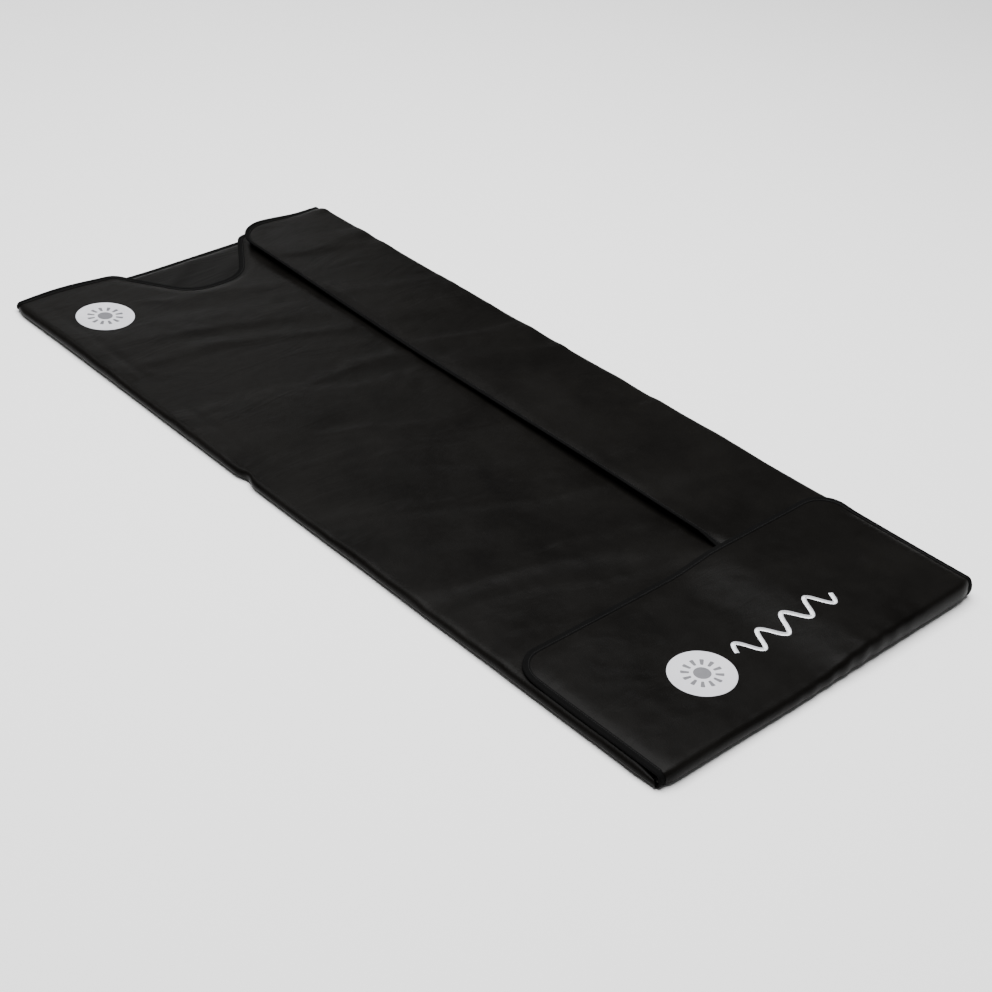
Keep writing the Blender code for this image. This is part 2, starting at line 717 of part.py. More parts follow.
def build_left_flap(body):
    liner, wire, carrier, insulation, cover = LEFT_LEVELS
    whole = (LEFT_BOTTOM - MM, LEFT_TOP + MM)
    main = cutter("left_main_region", left_main_region(0), whole)
    main_clear = cutter("left_main_region_clear", left_main_region(CLEAR), whole)
    pieces = [
        sloped_cover("left_flap_cover", left_corners, LEFT_BOTTOM, cover, MATS["cover"], body),
        padding("left_flap_insulation", left_corners, insulation, MATS["felt"], body),
        slab("left_flap_heater_carrier", panel_outline(left_corners, INNER_INSET), carrier,
             MATS["foil"], body),
        slab("left_flap_liner", panel_outline(left_corners, COVER_INSET), liner, MATS["liner"],
             body),
        binding("left_flap_binding", left_corners, LEFT_BOTTOM, MATS["binding"], body),
    ]
    for piece in pieces:
        cut(piece, main, "INTERSECT")
    band = (LEFT_BOTTOM, LEFT_TOP)
    cut(margin("left_flap_margin", left_corners, band, MATS["cover"], body), main_clear)
    cut(binding("left_margin_binding", left_corners, LEFT_BOTTOM, MATS["binding"], body),
        main_clear)
    heated = right_edge(SPLIT_Y) - MARGIN_SPLIT - WIRE_MARGIN + FOLD_X - WIRE_MARGIN
    count = int(heated / WIRE_PITCH) // 2 * 2 + 1
    beside_neck = NECK_TOP / 2 + WIRE_PITCH / 2

    def tops(x):
        under_neck = NECK_DEPTH if x > -beside_neck else WIRE_HEAD_MARGIN - WIRE_PITCH / 2
        return HEAD - under_neck - WIRE_PITCH

    route = serpentine(-1, -(FOLD_X - WIRE_MARGIN), count, tops,
                       SPLIT_Y + WIRE_MARGIN + WIRE_PITCH, HEAD - WIRE_HEAD_MARGIN)
    tube("left_flap_heating_wire", at_middle(route, wire), WIRE / 2, MATS["wire"], body)


def build_right_flap(body):
    liner, insulation, cover = RIGHT_LEVELS
    whole = (RIGHT_BOTTOM - MM, RIGHT_TOP + MM)
    main = cutter("right_main_region", right_main_region(0), whole)
    main_clear = cutter("right_main_region_clear", right_main_region(CLEAR), whole)
    pieces = [
        sloped_cover("right_flap_cover", right_corners, RIGHT_BOTTOM, cover, MATS["cover"], body),
        padding("right_flap_insulation", right_corners, insulation, MATS["felt"], body),
        slab("right_flap_liner", panel_outline(right_corners, COVER_INSET), liner, MATS["liner"],
             body),
        binding("right_flap_binding", right_corners, RIGHT_BOTTOM, MATS["binding"], body),
    ]
    for piece in pieces:
        cut(piece, main, "INTERSECT")
    band = (RIGHT_BOTTOM, RIGHT_TOP)
    cut(margin("right_flap_margin", right_corners, band, MATS["cover"], body), main_clear)
    cut(binding("right_margin_binding", right_corners, RIGHT_BOTTOM, MATS["binding"], body),
        main_clear)


def build_foot_flap(body):
    liner, insulation, cover = FOOT_LEVELS
    sloped_cover("foot_flap_cover", foot_corners, FOOT_BOTTOM, cover, MATS["cover"], body, True)
    padding("foot_flap_insulation", foot_corners, insulation, MATS["felt"], body, True)
    slab("foot_flap_liner", panel_outline(foot_corners, COVER_INSET), liner, MATS["liner"], body,
         True)
    binding("foot_flap_binding", foot_corners, FOOT_BOTTOM, MATS["binding"], body, True)


def build_folds(left_body, right_body, foot_body):
    """Outer cover and inner liner strips round the three folds."""
    base_liner = BASE_LEVELS[-1][0]
    side_range = (FOLD_Y + CLEAR, HEAD)
    for name, side, top, liner_top, body in (
            ("left", -1, LEFT_TOP, LEFT_LEVELS[0][1], left_body),
            ("right", 1, RIGHT_TOP, RIGHT_LEVELS[0][1], right_body)):
        side_fold(name + "_fold_cover", side, side_range, (0, top), FOLD_INSET, FLAP_COVER,
                  MATS["cover"], body)
        side_fold(name + "_fold_liner", side, side_range, (base_liner, liner_top),
                  FOLD_LINER_BULGE, FLAP_LINER, MATS["liner"], body)
    end = FOLD_X - CLEAR
    foot_fold("foot_fold_cover", (-end, end), (0, FOOT_TOP), FOLD_INSET, FLAP_COVER,
              MATS["cover"], foot_body)
    foot_fold("foot_fold_liner", (-end, end), (base_liner, FOOT_LEVELS[0][1]),
              FOLD_LINER_BULGE, FLAP_LINER, MATS["liner"], foot_body)


# ---------------------------------------------------------------- tapes and marks

def build_tapes(left_body, right_body, foot_body):
    """Hook tape under each covering flap, loop tape facing it on the flap below."""
    y_low, y_high = SPLIT_Y + TAPE_EDGE, HEAD - NECK_DEPTH - TAPE_NECK_MARGIN
    edge = [(right_edge(y) + TAPE_EDGE, y) for y in (y_low, y_high)]
    strip = [edge[0], (edge[0][0] + TAPE_WIDTH, y_low), (edge[1][0] + TAPE_WIDTH, y_high), edge[1]]
    under = RIGHT_BOTTOM - TAPE_GAP
    slab("right_flap_hook_tape", strip, (under - TAPE_THICKNESS, under), MATS["hook"], right_body)
    over = LEFT_TOP + TAPE_GAP
    slab("left_flap_loop_tape", strip, (over, over + TAPE_THICKNESS), MATS["loop"], left_body)
    y_high = FOOT_EDGE - TAPE_EDGE
    y_low = y_high - TAPE_WIDTH
    half = WIDTH / 2 - FOOT_SIDE_INSET - TAPE_CORNER_MARGIN
    spans = (("left", -half, RAMP_BOTTOM - TAPE_WIDTH, FOOT_DROP, left_body),
             ("right", right_edge(FOOT_EDGE) + TAPE_EDGE + TAPE_WIDTH, half, 0, right_body))
    for name, x_low, x_high, drop, body in spans:
        top = FOOT_BOTTOM - drop - TAPE_GAP
        bottom = FOOT_BOTTOM - drop - FLAP_GAP + TAPE_GAP
        plan = rectangle(x_low, x_high, y_low, y_high)
        slab(f"foot_hook_tape_{name}", plan, (top - TAPE_THICKNESS, top), MATS["hook"], foot_body)
        slab(f"foot_loop_tape_{name}", plan, (bottom, bottom + TAPE_THICKNESS), MATS["loop"], body)


def disc(name, centre, bottom, mat, body):
    points = [(centre[0] + BADGE_RADIUS * math.cos(2 * math.pi * i / BADGE_SEGMENTS),
               centre[1] + BADGE_RADIUS * math.sin(2 * math.pi * i / BADGE_SEGMENTS))
              for i in range(BADGE_SEGMENTS)]
    slab(name, points, (bottom, bottom + BADGE_THICKNESS), mat, body)


def build_marks(left_body, foot_body):
    """A round badge near the head, and a round badge beside an embroidered wave at the foot."""
    disc("head_badge", (-FOLD_X + HEAD_BADGE_FROM_FOLD, HEAD - HEAD_BADGE_FROM_HEAD),
         LEFT_TOP + CLEAR, MATS["badge"], left_body)
    y = -LENGTH / 2 + FOOT_MARK_FROM_FOOT
    disc("foot_badge", (-FOLD_X + FOOT_BADGE_FROM_FOLD, y), FOOT_TOP - FOOT_DROP + CLEAR,
         MATS["badge"], foot_body)
    start = -FOLD_X + WAVE_FROM_FOLD
    sections = []
    for i in range(WAVE_STEPS + 1):
        x = start + WAVE_LENGTH * i / WAVE_STEPS
        phase = 2 * math.pi * WAVE_PERIODS * i / WAVE_STEPS
        slope = WAVE_AMPLITUDE * 2 * math.pi * WAVE_PERIODS / WAVE_LENGTH * math.cos(phase)
        size = math.hypot(1, slope)
        across = (-slope / size * WAVE_RIBBON / 2, 1 / size * WAVE_RIBBON / 2)
        centre_y = y + WAVE_AMPLITUDE * math.sin(phase)
        low = (x - across[0], centre_y - across[1])
        high = (x + across[0], centre_y + across[1])
        section = []
        for (px, py), lift in ((low, 0), (high, 0), (high, THREAD), (low, THREAD)):
            section.append((px, py, FOOT_TOP + CLEAR + lift - foot_drop(px)))
        sections.append(section)
    loft("foot_wave_embroidery", sections, MATS["thread"], foot_body)


def make_materials():
    black = (0.012, 0.011, 0.010)
    return {
        "cover": material("cover_leather", black, 0.5),
        "liner": material("liner_leather", (0.010, 0.010, 0.010), 0.4),
        "binding": material("binding_tape", (0.005, 0.005, 0.005), 0.75),
        "felt": material("insulation_felt", (0.75, 0.74, 0.70), 0.95),
        "foil": material("heater_carrier", (0.62, 0.62, 0.63), 0.4, 0.8),
        "wire": material("heating_wire", (0.35, 0.02, 0.02), 0.5),
        "lead": material("lead_sleeve", (0.02, 0.02, 0.02), 0.5),
        "hook": material("hook_tape", (0.008, 0.008, 0.008), 0.9),
        "loop": material("loop_tape", (0.012, 0.012, 0.012), 1.0),
        "badge": material("badge_rubber", (0.62, 0.62, 0.66), 0.6),
        "thread": material("silver_thread", (0.60, 0.60, 0.66), 0.4, 0.2),
        "plastic": material("inlet_plastic", (0.015, 0.015, 0.015), 0.45),
        "brass": material("pin_metal", (0.75, 0.65, 0.40), 0.3, 1.0),
        "metal": material("cutout_metal", (0.6, 0.6, 0.6), 0.35, 1.0),
        "guide": material("guide", (0.8, 0.3, 0.1), 0.9),
    }


clear_scene()
MATS = make_materials()
ROOT = pivot("base_mat", (0, 0, 0))
LEFT = pivot("left_flap_hinge", (-FOLD_X, 0, LEFT_TOP / 2))
RIGHT = pivot("right_flap_hinge", (FOLD_X, 0, RIGHT_TOP / 2))
FOOT = pivot("foot_flap_hinge", (0, FOLD_Y, FOOT_TOP / 2))
build_base(ROOT)
build_inlet(ROOT)
build_leads(ROOT, LEFT)
build_left_flap(LEFT)
build_right_flap(RIGHT)
build_foot_flap(FOOT)
build_folds(LEFT, RIGHT, FOOT)
build_tapes(LEFT, RIGHT, FOOT)
build_marks(LEFT, FOOT)
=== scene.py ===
"""The look of an infrared sauna blanket, folded shut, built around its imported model.

Metres, +Z up, +Y towards the head, the fold of the wide flap on the left (-X).
"""
import json
import math

import bpy
import numpy as np
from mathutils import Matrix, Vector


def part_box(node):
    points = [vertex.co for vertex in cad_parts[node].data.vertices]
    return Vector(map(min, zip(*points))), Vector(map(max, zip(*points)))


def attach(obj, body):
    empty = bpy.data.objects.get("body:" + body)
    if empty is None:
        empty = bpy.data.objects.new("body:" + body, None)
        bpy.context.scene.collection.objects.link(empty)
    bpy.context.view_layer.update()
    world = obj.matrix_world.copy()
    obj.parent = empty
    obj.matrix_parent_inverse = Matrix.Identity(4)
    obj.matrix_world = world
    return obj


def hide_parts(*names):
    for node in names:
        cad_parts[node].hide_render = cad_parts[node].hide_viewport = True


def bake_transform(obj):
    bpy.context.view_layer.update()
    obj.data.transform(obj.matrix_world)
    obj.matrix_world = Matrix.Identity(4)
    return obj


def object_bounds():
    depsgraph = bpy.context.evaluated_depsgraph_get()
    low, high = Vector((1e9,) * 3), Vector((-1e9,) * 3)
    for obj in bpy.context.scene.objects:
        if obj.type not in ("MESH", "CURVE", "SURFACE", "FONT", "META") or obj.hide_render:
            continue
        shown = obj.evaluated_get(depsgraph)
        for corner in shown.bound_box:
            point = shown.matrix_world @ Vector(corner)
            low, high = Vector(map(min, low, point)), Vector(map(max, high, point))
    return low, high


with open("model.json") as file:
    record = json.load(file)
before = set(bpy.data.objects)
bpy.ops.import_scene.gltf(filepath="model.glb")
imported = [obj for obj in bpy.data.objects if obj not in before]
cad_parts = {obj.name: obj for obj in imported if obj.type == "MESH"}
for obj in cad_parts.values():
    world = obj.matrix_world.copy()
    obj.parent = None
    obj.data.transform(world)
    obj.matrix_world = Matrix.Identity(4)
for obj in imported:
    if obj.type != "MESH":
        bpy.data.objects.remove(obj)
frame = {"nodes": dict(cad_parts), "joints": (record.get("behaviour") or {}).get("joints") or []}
cad_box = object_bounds()

# ------------------------------------------------------------------------------- the studio
# A plain pale floor, a broad soft light overhead and two softer ones, and the camera at the
# standing height of someone beside the foot of the blanket.

MM = 0.001
FLOOR_HALF = 9.0
CAMERA_PLACE = (-1.9732, -2.2028, 1.8899)
CAMERA_TURN = (55.881, -2.531, -41.720)
CAMERA_LENS = 68.61
SENSOR = 36.0


def principled(name, colour, roughness):
    """A material whose Principled shader has this plain colour and roughness, and its node tree."""
    material = bpy.data.materials.new(name)
    material.use_nodes = True
    shader = material.node_tree.nodes["Principled BSDF"]
    shader.inputs["Base Color"].default_value = (*colour, 1)
    shader.inputs["Roughness"].default_value = roughness
    return material, material.node_tree, shader


def node(tree, kind, **values):
    """A node of this kind; values set its properties, or its inputs where they are named so."""
    made = tree.nodes.new(kind)
    for name, value in values.items():
        label = name.replace("_", " ")
        if label in made.inputs:
            made.inputs[label].default_value = value
        else:
            setattr(made, name, value)
    return made


floor_mesh = bpy.data.meshes.new("studio_floor")
floor_mesh.from_pydata([(-FLOOR_HALF, -FLOOR_HALF, 0), (FLOOR_HALF, -FLOOR_HALF, 0),
                        (FLOOR_HALF, FLOOR_HALF, 0), (-FLOOR_HALF, FLOOR_HALF, 0)],
                       [], [(0, 1, 2, 3)])
floor = bpy.data.objects.new("studio_floor", floor_mesh)
bpy.context.collection.objects.link(floor)
floor_paint, floor_tree, floor_shader = principled("floor_paint", (0.86, 0.86, 0.86), 0.85)
mottle = node(floor_tree, "ShaderNodeTexNoise", Scale=1.5, Detail=3.0)
tone = node(floor_tree, "ShaderNodeMapRange", To_Min=0.82, To_Max=0.90)
floor_tree.links.new(mottle.outputs["Fac"], tone.inputs["Value"])
floor_tree.links.new(tone.outputs["Result"], floor_shader.inputs["Roughness"])
floor_mesh.materials.append(floor_paint)

for lamp_name, place, turn, width, depth, power in (
        ("overhead_softbox", (0.0, 0.0, 4.0), (0, 0, 0), 4.0, 4.0, 560),
        ("head_softbox", (1.8, 4.0, 1.7), (66, 0, 152), 1.8, 1.0, 12),
        ("fold_softbox", (-0.4, 3.0, 3.3), (40, 0, 180), 1.4, 1.8, 30)):
    lamp_data = bpy.data.lights.new(lamp_name, "AREA")
    lamp_data.shape = "RECTANGLE"
    lamp_data.size, lamp_data.size_y = width, depth
    lamp_data.energy = power
    lamp = bpy.data.objects.new(lamp_name, lamp_data)
    lamp.location = place
    lamp.rotation_euler = [math.radians(angle) for angle in turn]
    bpy.context.collection.objects.link(lamp)

world = bpy.data.worlds.new("studio_air")
world.use_nodes = True
world.node_tree.nodes["Background"].inputs["Color"].default_value = (1, 1, 1, 1)
world.node_tree.nodes["Background"].inputs["Strength"].default_value = 0.16
bpy.context.scene.world = world

camera_data = bpy.data.cameras.new("camera")
camera_data.lens = CAMERA_LENS
camera_data.sensor_width = SENSOR
camera = bpy.data.objects.new("camera", camera_data)
camera.location = CAMERA_PLACE
camera.rotation_euler = [math.radians(angle) for angle in CAMERA_TURN]
bpy.context.collection.objects.link(camera)
bpy.context.scene.camera = camera

# ------------------------------------------------------------------- underside of the base mat
# One sheet of matte black polyurethane leather, the same hide that wraps up round the folds.
# It lies flat on the floor and is a little puckered where it is sewn to the padding.

JOINTS = {joint["name"]: joint for joint in frame["joints"]}
FOLD_X = JOINTS["right_flap_fold"]["pos_m"][0]
FOLD_Y = JOINTS["foot_flap_fold"]["pos_m"][1]
HEAD = cad_box[1].y
LEATHER_WALL = 1.1 * MM
BINDING_REACH = 12 * MM
TUCK = 1 * MM
HIDE_DARK = (0.0019, 0.0017, 0.0015)
HIDE_LIGHT = (0.0036, 0.0033, 0.0029)
HIDE_ROUGH = (0.32, 0.44)
PORES = 620.0

HEAD_EASE, CORNER_EASE = 12 * MM, 18 * MM
EASE_CORNER = 0.05, 0.36
EASE_START = 0.45
SHEET_SEED = 4711
LATTICE = np.random.default_rng(SHEET_SEED).normal(size=(64, 64))


def spline_read(values, x, y):
    """Smooth surface over a lattice of values: a cubic B-spline in both directions, repeating."""
    col, row = np.floor(x).astype(int), np.floor(y).astype(int)

    def weights(t):
        return ((1 - t) ** 3 / 6, (3 * t ** 3 - 6 * t ** 2 + 4) / 6,
                (-3 * t ** 3 + 3 * t ** 2 + 3 * t + 1) / 6, t ** 3 / 6)

    total = 0
    for i, across in enumerate(weights(x - col)):
        for j, along in enumerate(weights(y - row)):
            picked = values[(col + i - 1) % values.shape[0], (row + j - 1) % values.shape[1]]
            total = total + across * along * picked
    return total


def hollows(x, y, size, offset=0.0):
    """Gentle rolling noise whose hollows are about size apart, from -1 to 1 or so."""
    return 1.6 * spline_read(LATTICE, x / size + offset, y / size + 1.7 * offset)


def soft_folds(x, y, angle, length, width, offset):
    """Soft folds: rolling noise drawn out along a slanting line, with narrow crests."""
    c, s = math.cos(angle), math.sin(angle)
    along, across = x * c + y * s, -x * s + y * c
    across = across + 0.35 * width * hollows(x, y, 3 * width, offset + 9)
    wave = spline_read(LATTICE, along / length + offset, across / width + 3 * offset)
    return 1.0 - 2.4 * np.sqrt(wave ** 2 + 0.006)


def cloth(name, face, wall, material):
    """A sheet with a thickness: its face is the grid face[i, j], its back lies a wall behind.

    Going up i and then up j turns anticlockwise seen from in front. The rim is closed all round,
    and the wall is one number or a grid of them.
    """
    up_i, up_j = np.gradient(face, axis=(0, 1))
    normal = np.cross(up_i, up_j)
    normal /= np.linalg.norm(normal, axis=2, keepdims=True) + 1e-12
    back = face - np.broadcast_to(wall, face.shape[:2])[..., None] * normal
    points = np.concatenate([face.reshape(-1, 3), back.reshape(-1, 3)])
    rows, places = face.shape[:2]
    index = np.arange(rows * places).reshape(rows, places)
    front = np.stack([index[:-1, :-1], index[1:, :-1], index[1:, 1:], index[:-1, 1:]], -1)
    front = front.reshape(-1, 4)
    loop = np.concatenate([index[:, 0], index[-1, 1:], index[-2::-1, -1], index[0, -2::-1]])
    low, high = loop[:-1], loop[1:]
    behind = rows * places
    rim = np.stack([high, low, low + behind, high + behind], -1)
    faces = np.concatenate([front, front[:, ::-1] + behind, rim])
    return add_mesh(name, points, faces, material)


def smooth_step(value, low, high):
    """0 below low, 1 above high, and the cubic 3 t^2 - 2 t^3 between them."""
    t = np.clip((value - low) / (high - low), 0, 1)
    return t * t * (3 - 2 * t)


def ease(x, y):
    """How far the head end relaxes outwards as it lies, most of all at its left corner."""
    out = HEAD_EASE + CORNER_EASE * smooth_step(-x, *EASE_CORNER)
    return out * smooth_step(y, EASE_START, HEAD)


def eased(points):
    """The points with their place along the object eased outwards, near the head."""
    x, y = points[:, 0], points[:, 1]
    return points + np.column_stack([0 * x, ease(x, y), 0 * x])


def add_mesh(name, points, faces, material, sharp=50):
    """A piece from arrays of points and of faces, shaded smooth."""
    mesh = bpy.data.meshes.new(name)
    mesh.from_pydata(eased(points).tolist(), [], [list(face) for face in faces])
    mesh.shade_smooth()
    mesh.set_sharp_from_angle(angle=math.radians(sharp))
    mesh.materials.append(material)
    piece = bpy.data.objects.new(name, mesh)
    bpy.context.collection.objects.link(piece)
    return piece


def lattice_points(x_range, y_range, cell):
    """Grid of (x, y) over a rectangle, with cells of about this size."""
    xs = np.linspace(*x_range, int(abs(x_range[1] - x_range[0]) / cell) + 2)
    ys = np.linspace(*y_range, int(abs(y_range[1] - y_range[0]) / cell) + 2)
    return np.stack(np.meshgrid(xs, ys, indexing="ij"), -1)


def at_height(plan, height):
    """The (x, y) grid with this height, one number or a grid, as its z."""
    return np.concatenate([plan, np.broadcast_to(height, plan.shape[:2])[..., None]], -1)


def effect(name, inputs, outputs):
    """A node group with these number inputs and outputs, and its two end nodes."""
    group = bpy.data.node_groups.new(name, "ShaderNodeTree")
    group.interface.new_socket("Vector", in_out="INPUT", socket_type="NodeSocketVector")
    for label in inputs:
        group.interface.new_socket(label, in_out="INPUT", socket_type="NodeSocketFloat")
    for label in outputs:
        group.interface.new_socket(label, in_out="OUTPUT", socket_type="NodeSocketFloat")
    return group, group.nodes.new("NodeGroupInput"), group.nodes.new("NodeGroupOutput")


# Leather grain: pebbles with fine valleys between them, and a slow mottle for colour and gloss
grain_group, grain_in, grain_out = effect("leather_grain", ["Pores"], ["Height", "Mottle"])
pebbles = node(grain_group, "ShaderNodeTexVoronoi", feature="SMOOTH_F1", Smoothness=0.5)
fibres = node(grain_group, "ShaderNodeTexNoise", Scale=900.0, Detail=3.0)
both = node(grain_group, "ShaderNodeMath", operation="MULTIPLY_ADD")
both.inputs[1].default_value = 0.35
slow = node(grain_group, "ShaderNodeTexNoise", Scale=7.0, Detail=5.0, Roughness=0.6)
for start, end in ((grain_in.outputs["Vector"], pebbles.inputs["Vector"]),
                   (grain_in.outputs["Pores"], pebbles.inputs["Scale"]),
                   (grain_in.outputs["Vector"], fibres.inputs["Vector"]),
                   (grain_in.outputs["Vector"], slow.inputs["Vector"]),
                   (fibres.outputs["Fac"], both.inputs[0]),
                   (pebbles.outputs["Distance"], both.inputs[2]),
                   (both.outputs["Value"], grain_out.inputs["Height"]),
                   (slow.outputs["Fac"], grain_out.inputs["Mottle"])):
    grain_group.links.new(start, end)

# Handling creases: faint lines drawn across the sheet wherever it has been folded and pressed
crease_group, crease_in, crease_out = effect("handling_creases", ["Scale"], ["Height"])
stretch = node(crease_group, "ShaderNodeMapping", Rotation=(0, 0, 0.32), Scale=(0.35, 1.0, 1.0))
drawn = node(crease_group, "ShaderNodeTexNoise", Detail=4.0, Roughness=0.55, Distortion=0.9)
centred = node(crease_group, "ShaderNodeMath", operation="SUBTRACT")
centred.inputs[1].default_value = 0.5
ridge = node(crease_group, "ShaderNodeMath", operation="ABSOLUTE")
for start, end in ((crease_in.outputs["Vector"], stretch.inputs["Vector"]),
                   (stretch.outputs["Vector"], drawn.inputs["Vector"]),
                   (crease_in.outputs["Scale"], drawn.inputs["Scale"]),
                   (drawn.outputs["Fac"], centred.inputs[0]),
                   (centred.outputs["Value"], ridge.inputs[0]),
                   (ridge.outputs["Value"], crease_out.inputs["Height"])):
    crease_group.links.new(start, end)


def place_group(tree, group, vector, **values):
    """A node group set in a material, fed by this vector and these numbers."""
    made = tree.nodes.new("ShaderNodeGroup")
    made.node_tree = group
    tree.links.new(vector, made.inputs["Vector"])
    for label, value in values.items():
        made.inputs[label].default_value = value
    return made


def coloured(tree, shader, mask, dark, light, rough):
    """Colour and roughness that drift between two values with a mask."""
    ramp = node(tree, "ShaderNodeValToRGB")
    ramp.color_ramp.elements[0].position, ramp.color_ramp.elements[1].position = 0.3, 0.7
    ramp.color_ramp.elements[0].color = (*dark, 1)
    ramp.color_ramp.elements[1].color = (*light, 1)
    gloss = node(tree, "ShaderNodeMapRange", From_Min=0.3, From_Max=0.7, To_Min=rough[0],
                 To_Max=rough[1])
    tree.links.new(mask, ramp.inputs["Fac"])
    tree.links.new(mask, gloss.inputs["Value"])
    tree.links.new(ramp.outputs["Color"], shader.inputs["Base Color"])
    tree.links.new(gloss.outputs["Result"], shader.inputs["Roughness"])


def bumped(tree, shader, *layers):
    """Bumps from several heights, each with its strength and depth, one over another."""
    before = None
    for height, strength, depth in layers:
        bump = node(tree, "ShaderNodeBump", Strength=strength, Distance=depth)
        tree.links.new(height, bump.inputs["Height"])
        if before:
            tree.links.new(before.outputs["Normal"], bump.inputs["Normal"])
        before = bump
    tree.links.new(before.outputs["Normal"], shader.inputs["Normal"])


def leather(name, dark, light, rough, pores, grain, crease, shine):
    """Coated leather: pebbled grain, faint handling creases, drifting tone and gloss."""
    material, tree, shader = principled(name, light, rough[0])
    shader.inputs["Specular IOR Level"].default_value = shine
    place = node(tree, "ShaderNodeTexCoord").outputs["Object"]
    skin = place_group(tree, grain_group, place, Pores=pores)
    lines = place_group(tree, crease_group, place, Scale=16.0)
    coloured(tree, shader, skin.outputs["Mottle"], dark, light, rough)
    bumped(tree, shader, (lines.outputs["Height"], crease, 6 * MM),
           (skin.outputs["Height"], grain, 0.5 * MM))
    return material


def grained(name, colour, roughness, dark, light, rough, pores, strength, depth, metallic=0.0,
            shine=0.5):
    """A finish with one fine grain: drifting tone and gloss, and a bump of this strength and depth."""
    material, tree, shader = principled(name, colour, roughness)
    shader.inputs["Metallic"].default_value = metallic
    shader.inputs["Specular IOR Level"].default_value = shine
    place = node(tree, "ShaderNodeTexCoord").outputs["Object"]
    skin = place_group(tree, grain_group, place, Pores=pores)
    coloured(tree, shader, skin.outputs["Mottle"], dark, light, rough)
    bumped(tree, shader, (skin.outputs["Height"], strength, depth))
    return material


hide = leather("black_leather", HIDE_DARK, HIDE_LIGHT, HIDE_ROUGH, PORES, 0.35, 0.25, 0.045)

underside_plan = lattice_points((-FOLD_X + 2 * MM, FOLD_X - 2 * MM),
                                (HEAD - BINDING_REACH + TUCK, FOLD_Y + 2 * MM), 18 * MM)
underside_height = 0.5 * MM + 0.3 * MM * hollows(*np.moveaxis(underside_plan, -1, 0), 0.05) ** 2
base_underside = cloth("base_underside", at_height(underside_plan, np.clip(underside_height, 0,
                                                                         1.2 * MM)),
                       LEATHER_WALL, hide)
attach(base_underside, "root")
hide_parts("base_outer_cover")

# ----------------------------------------------------------------------- inner lining of the base
# The waterproof lining that the user lies on: a smooth, slightly glossy sheet. It shows in the
# neck opening, where it is loose and rumpled, and runs down to the bound edge at the head.

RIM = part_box("base_head_binding_left")[1].z
BASE_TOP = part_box("base_liner")[1].z
SLOPE = 30 * MM
LINER_WALL = 0.7 * MM
NECK_HALF = 0.17
LINER_DARK = (0.0026, 0.0025, 0.0024)
LINER_LIGHT = (0.0050, 0.0048, 0.0046)


def softened(dents, rise, fall):
    """Dents held between a rise and a fall by tanh, so that no fold stands out too far."""
    return np.where(dents > 0, rise * np.tanh(dents / rise), fall * np.tanh(dents / fall))


def crown(distance, slope=SLOPE):
    """How far up the padding has risen, 0 to 1, at a distance from the seam: a rounded shoulder."""
    t = np.clip(distance / slope, 0, 1)
    return 1 - (1 - t) ** 2.4


lining = leather("black_lining", LINER_DARK, LINER_LIGHT, (0.40, 0.52), 380.0, 0.12, 0.45, 0.035)

liner_plan = lattice_points((-FOLD_X + 5 * MM, FOLD_X - 5 * MM),
                            (FOLD_Y + 5 * MM, HEAD - BINDING_REACH + TUCK), 9 * MM)
liner_x, liner_y = liner_plan[..., 0], liner_plan[..., 1]
risen = crown(liner_plan[..., 1].max() - liner_y)
neck = np.exp(-(liner_x / NECK_HALF) ** 4) * np.clip((liner_y - 0.74) / 0.06, 0, 1) * risen
liner_folds = soft_folds(liner_x, liner_y, 0.5, 0.16, 0.045, 2.3)
liner_height = (RIM - MM + (BASE_TOP - RIM + MM) * risen
                + 0.35 * MM * risen * (1 + hollows(liner_x, liner_y, 0.07, 5.1))
                + 2.6 * MM * neck * np.clip(liner_folds + 0.4, 0, 2))
base_lining = cloth("base_lining", at_height(liner_plan, liner_height), LINER_WALL, lining)
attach(base_lining, "root")
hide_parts("base_liner")

# ------------------------------------------------------------------- binding of the head edge
# Matte woven tape folded over the edge of the base and stitched through 10 mm in. It stops on
# each side of the power inlet.

TAPE_WALL = 0.9 * MM
STITCH_IN = 9.6 * MM
STITCH_PITCH = 4.4 * MM
STITCH_LENGTH = 3.2 * MM
STITCH_RADIUS = 0.32 * MM
TAPE_DARK = (0.0016, 0.0016, 0.0016)
TAPE_LIGHT = (0.0032, 0.0032, 0.0032)

weave_group, weave_in, weave_out = effect("tape_weave", ["Scale"], ["Height"])
warp = node(weave_group, "ShaderNodeTexWave", bands_direction="X", Distortion=0.6)
weft = node(weave_group, "ShaderNodeTexWave", bands_direction="Y", Distortion=0.6)
woven = node(weave_group, "ShaderNodeMath", operation="MULTIPLY")
for start, end in ((weave_in.outputs["Vector"], warp.inputs["Vector"]),
                   (weave_in.outputs["Vector"], weft.inputs["Vector"]),
                   (weave_in.outputs["Scale"], warp.inputs["Scale"]),
                   (weave_in.outputs["Scale"], weft.inputs["Scale"]),
                   (warp.outputs["Fac"], woven.inputs[0]),
                   (weft.outputs["Fac"], woven.inputs[1]),
                   (woven.outputs["Value"], weave_out.inputs["Height"])):
    weave_group.links.new(start, end)

tape_cloth, tape_tree, tape_shader = principled("binding_tape_cloth", TAPE_LIGHT, 0.8)
tape_shader.inputs["Specular IOR Level"].default_value = 0.03
tape_uv = node(tape_tree, "ShaderNodeTexCoord").outputs["UV"]
tape_place = node(tape_tree, "ShaderNodeTexCoord").outputs["Object"]
tape_weave = place_group(tape_tree, weave_group, tape_uv, Scale=380.0)
tape_grain = place_group(tape_tree, grain_group, tape_place, Pores=900.0)
coloured(tape_tree, tape_shader, tape_grain.outputs["Mottle"], TAPE_DARK, TAPE_LIGHT, (0.72, 0.88))
bumped(tape_tree, tape_shader, (tape_weave.outputs["Height"], 0.5, 0.4 * MM),
       (tape_grain.outputs["Height"], 0.2, 0.3 * MM))

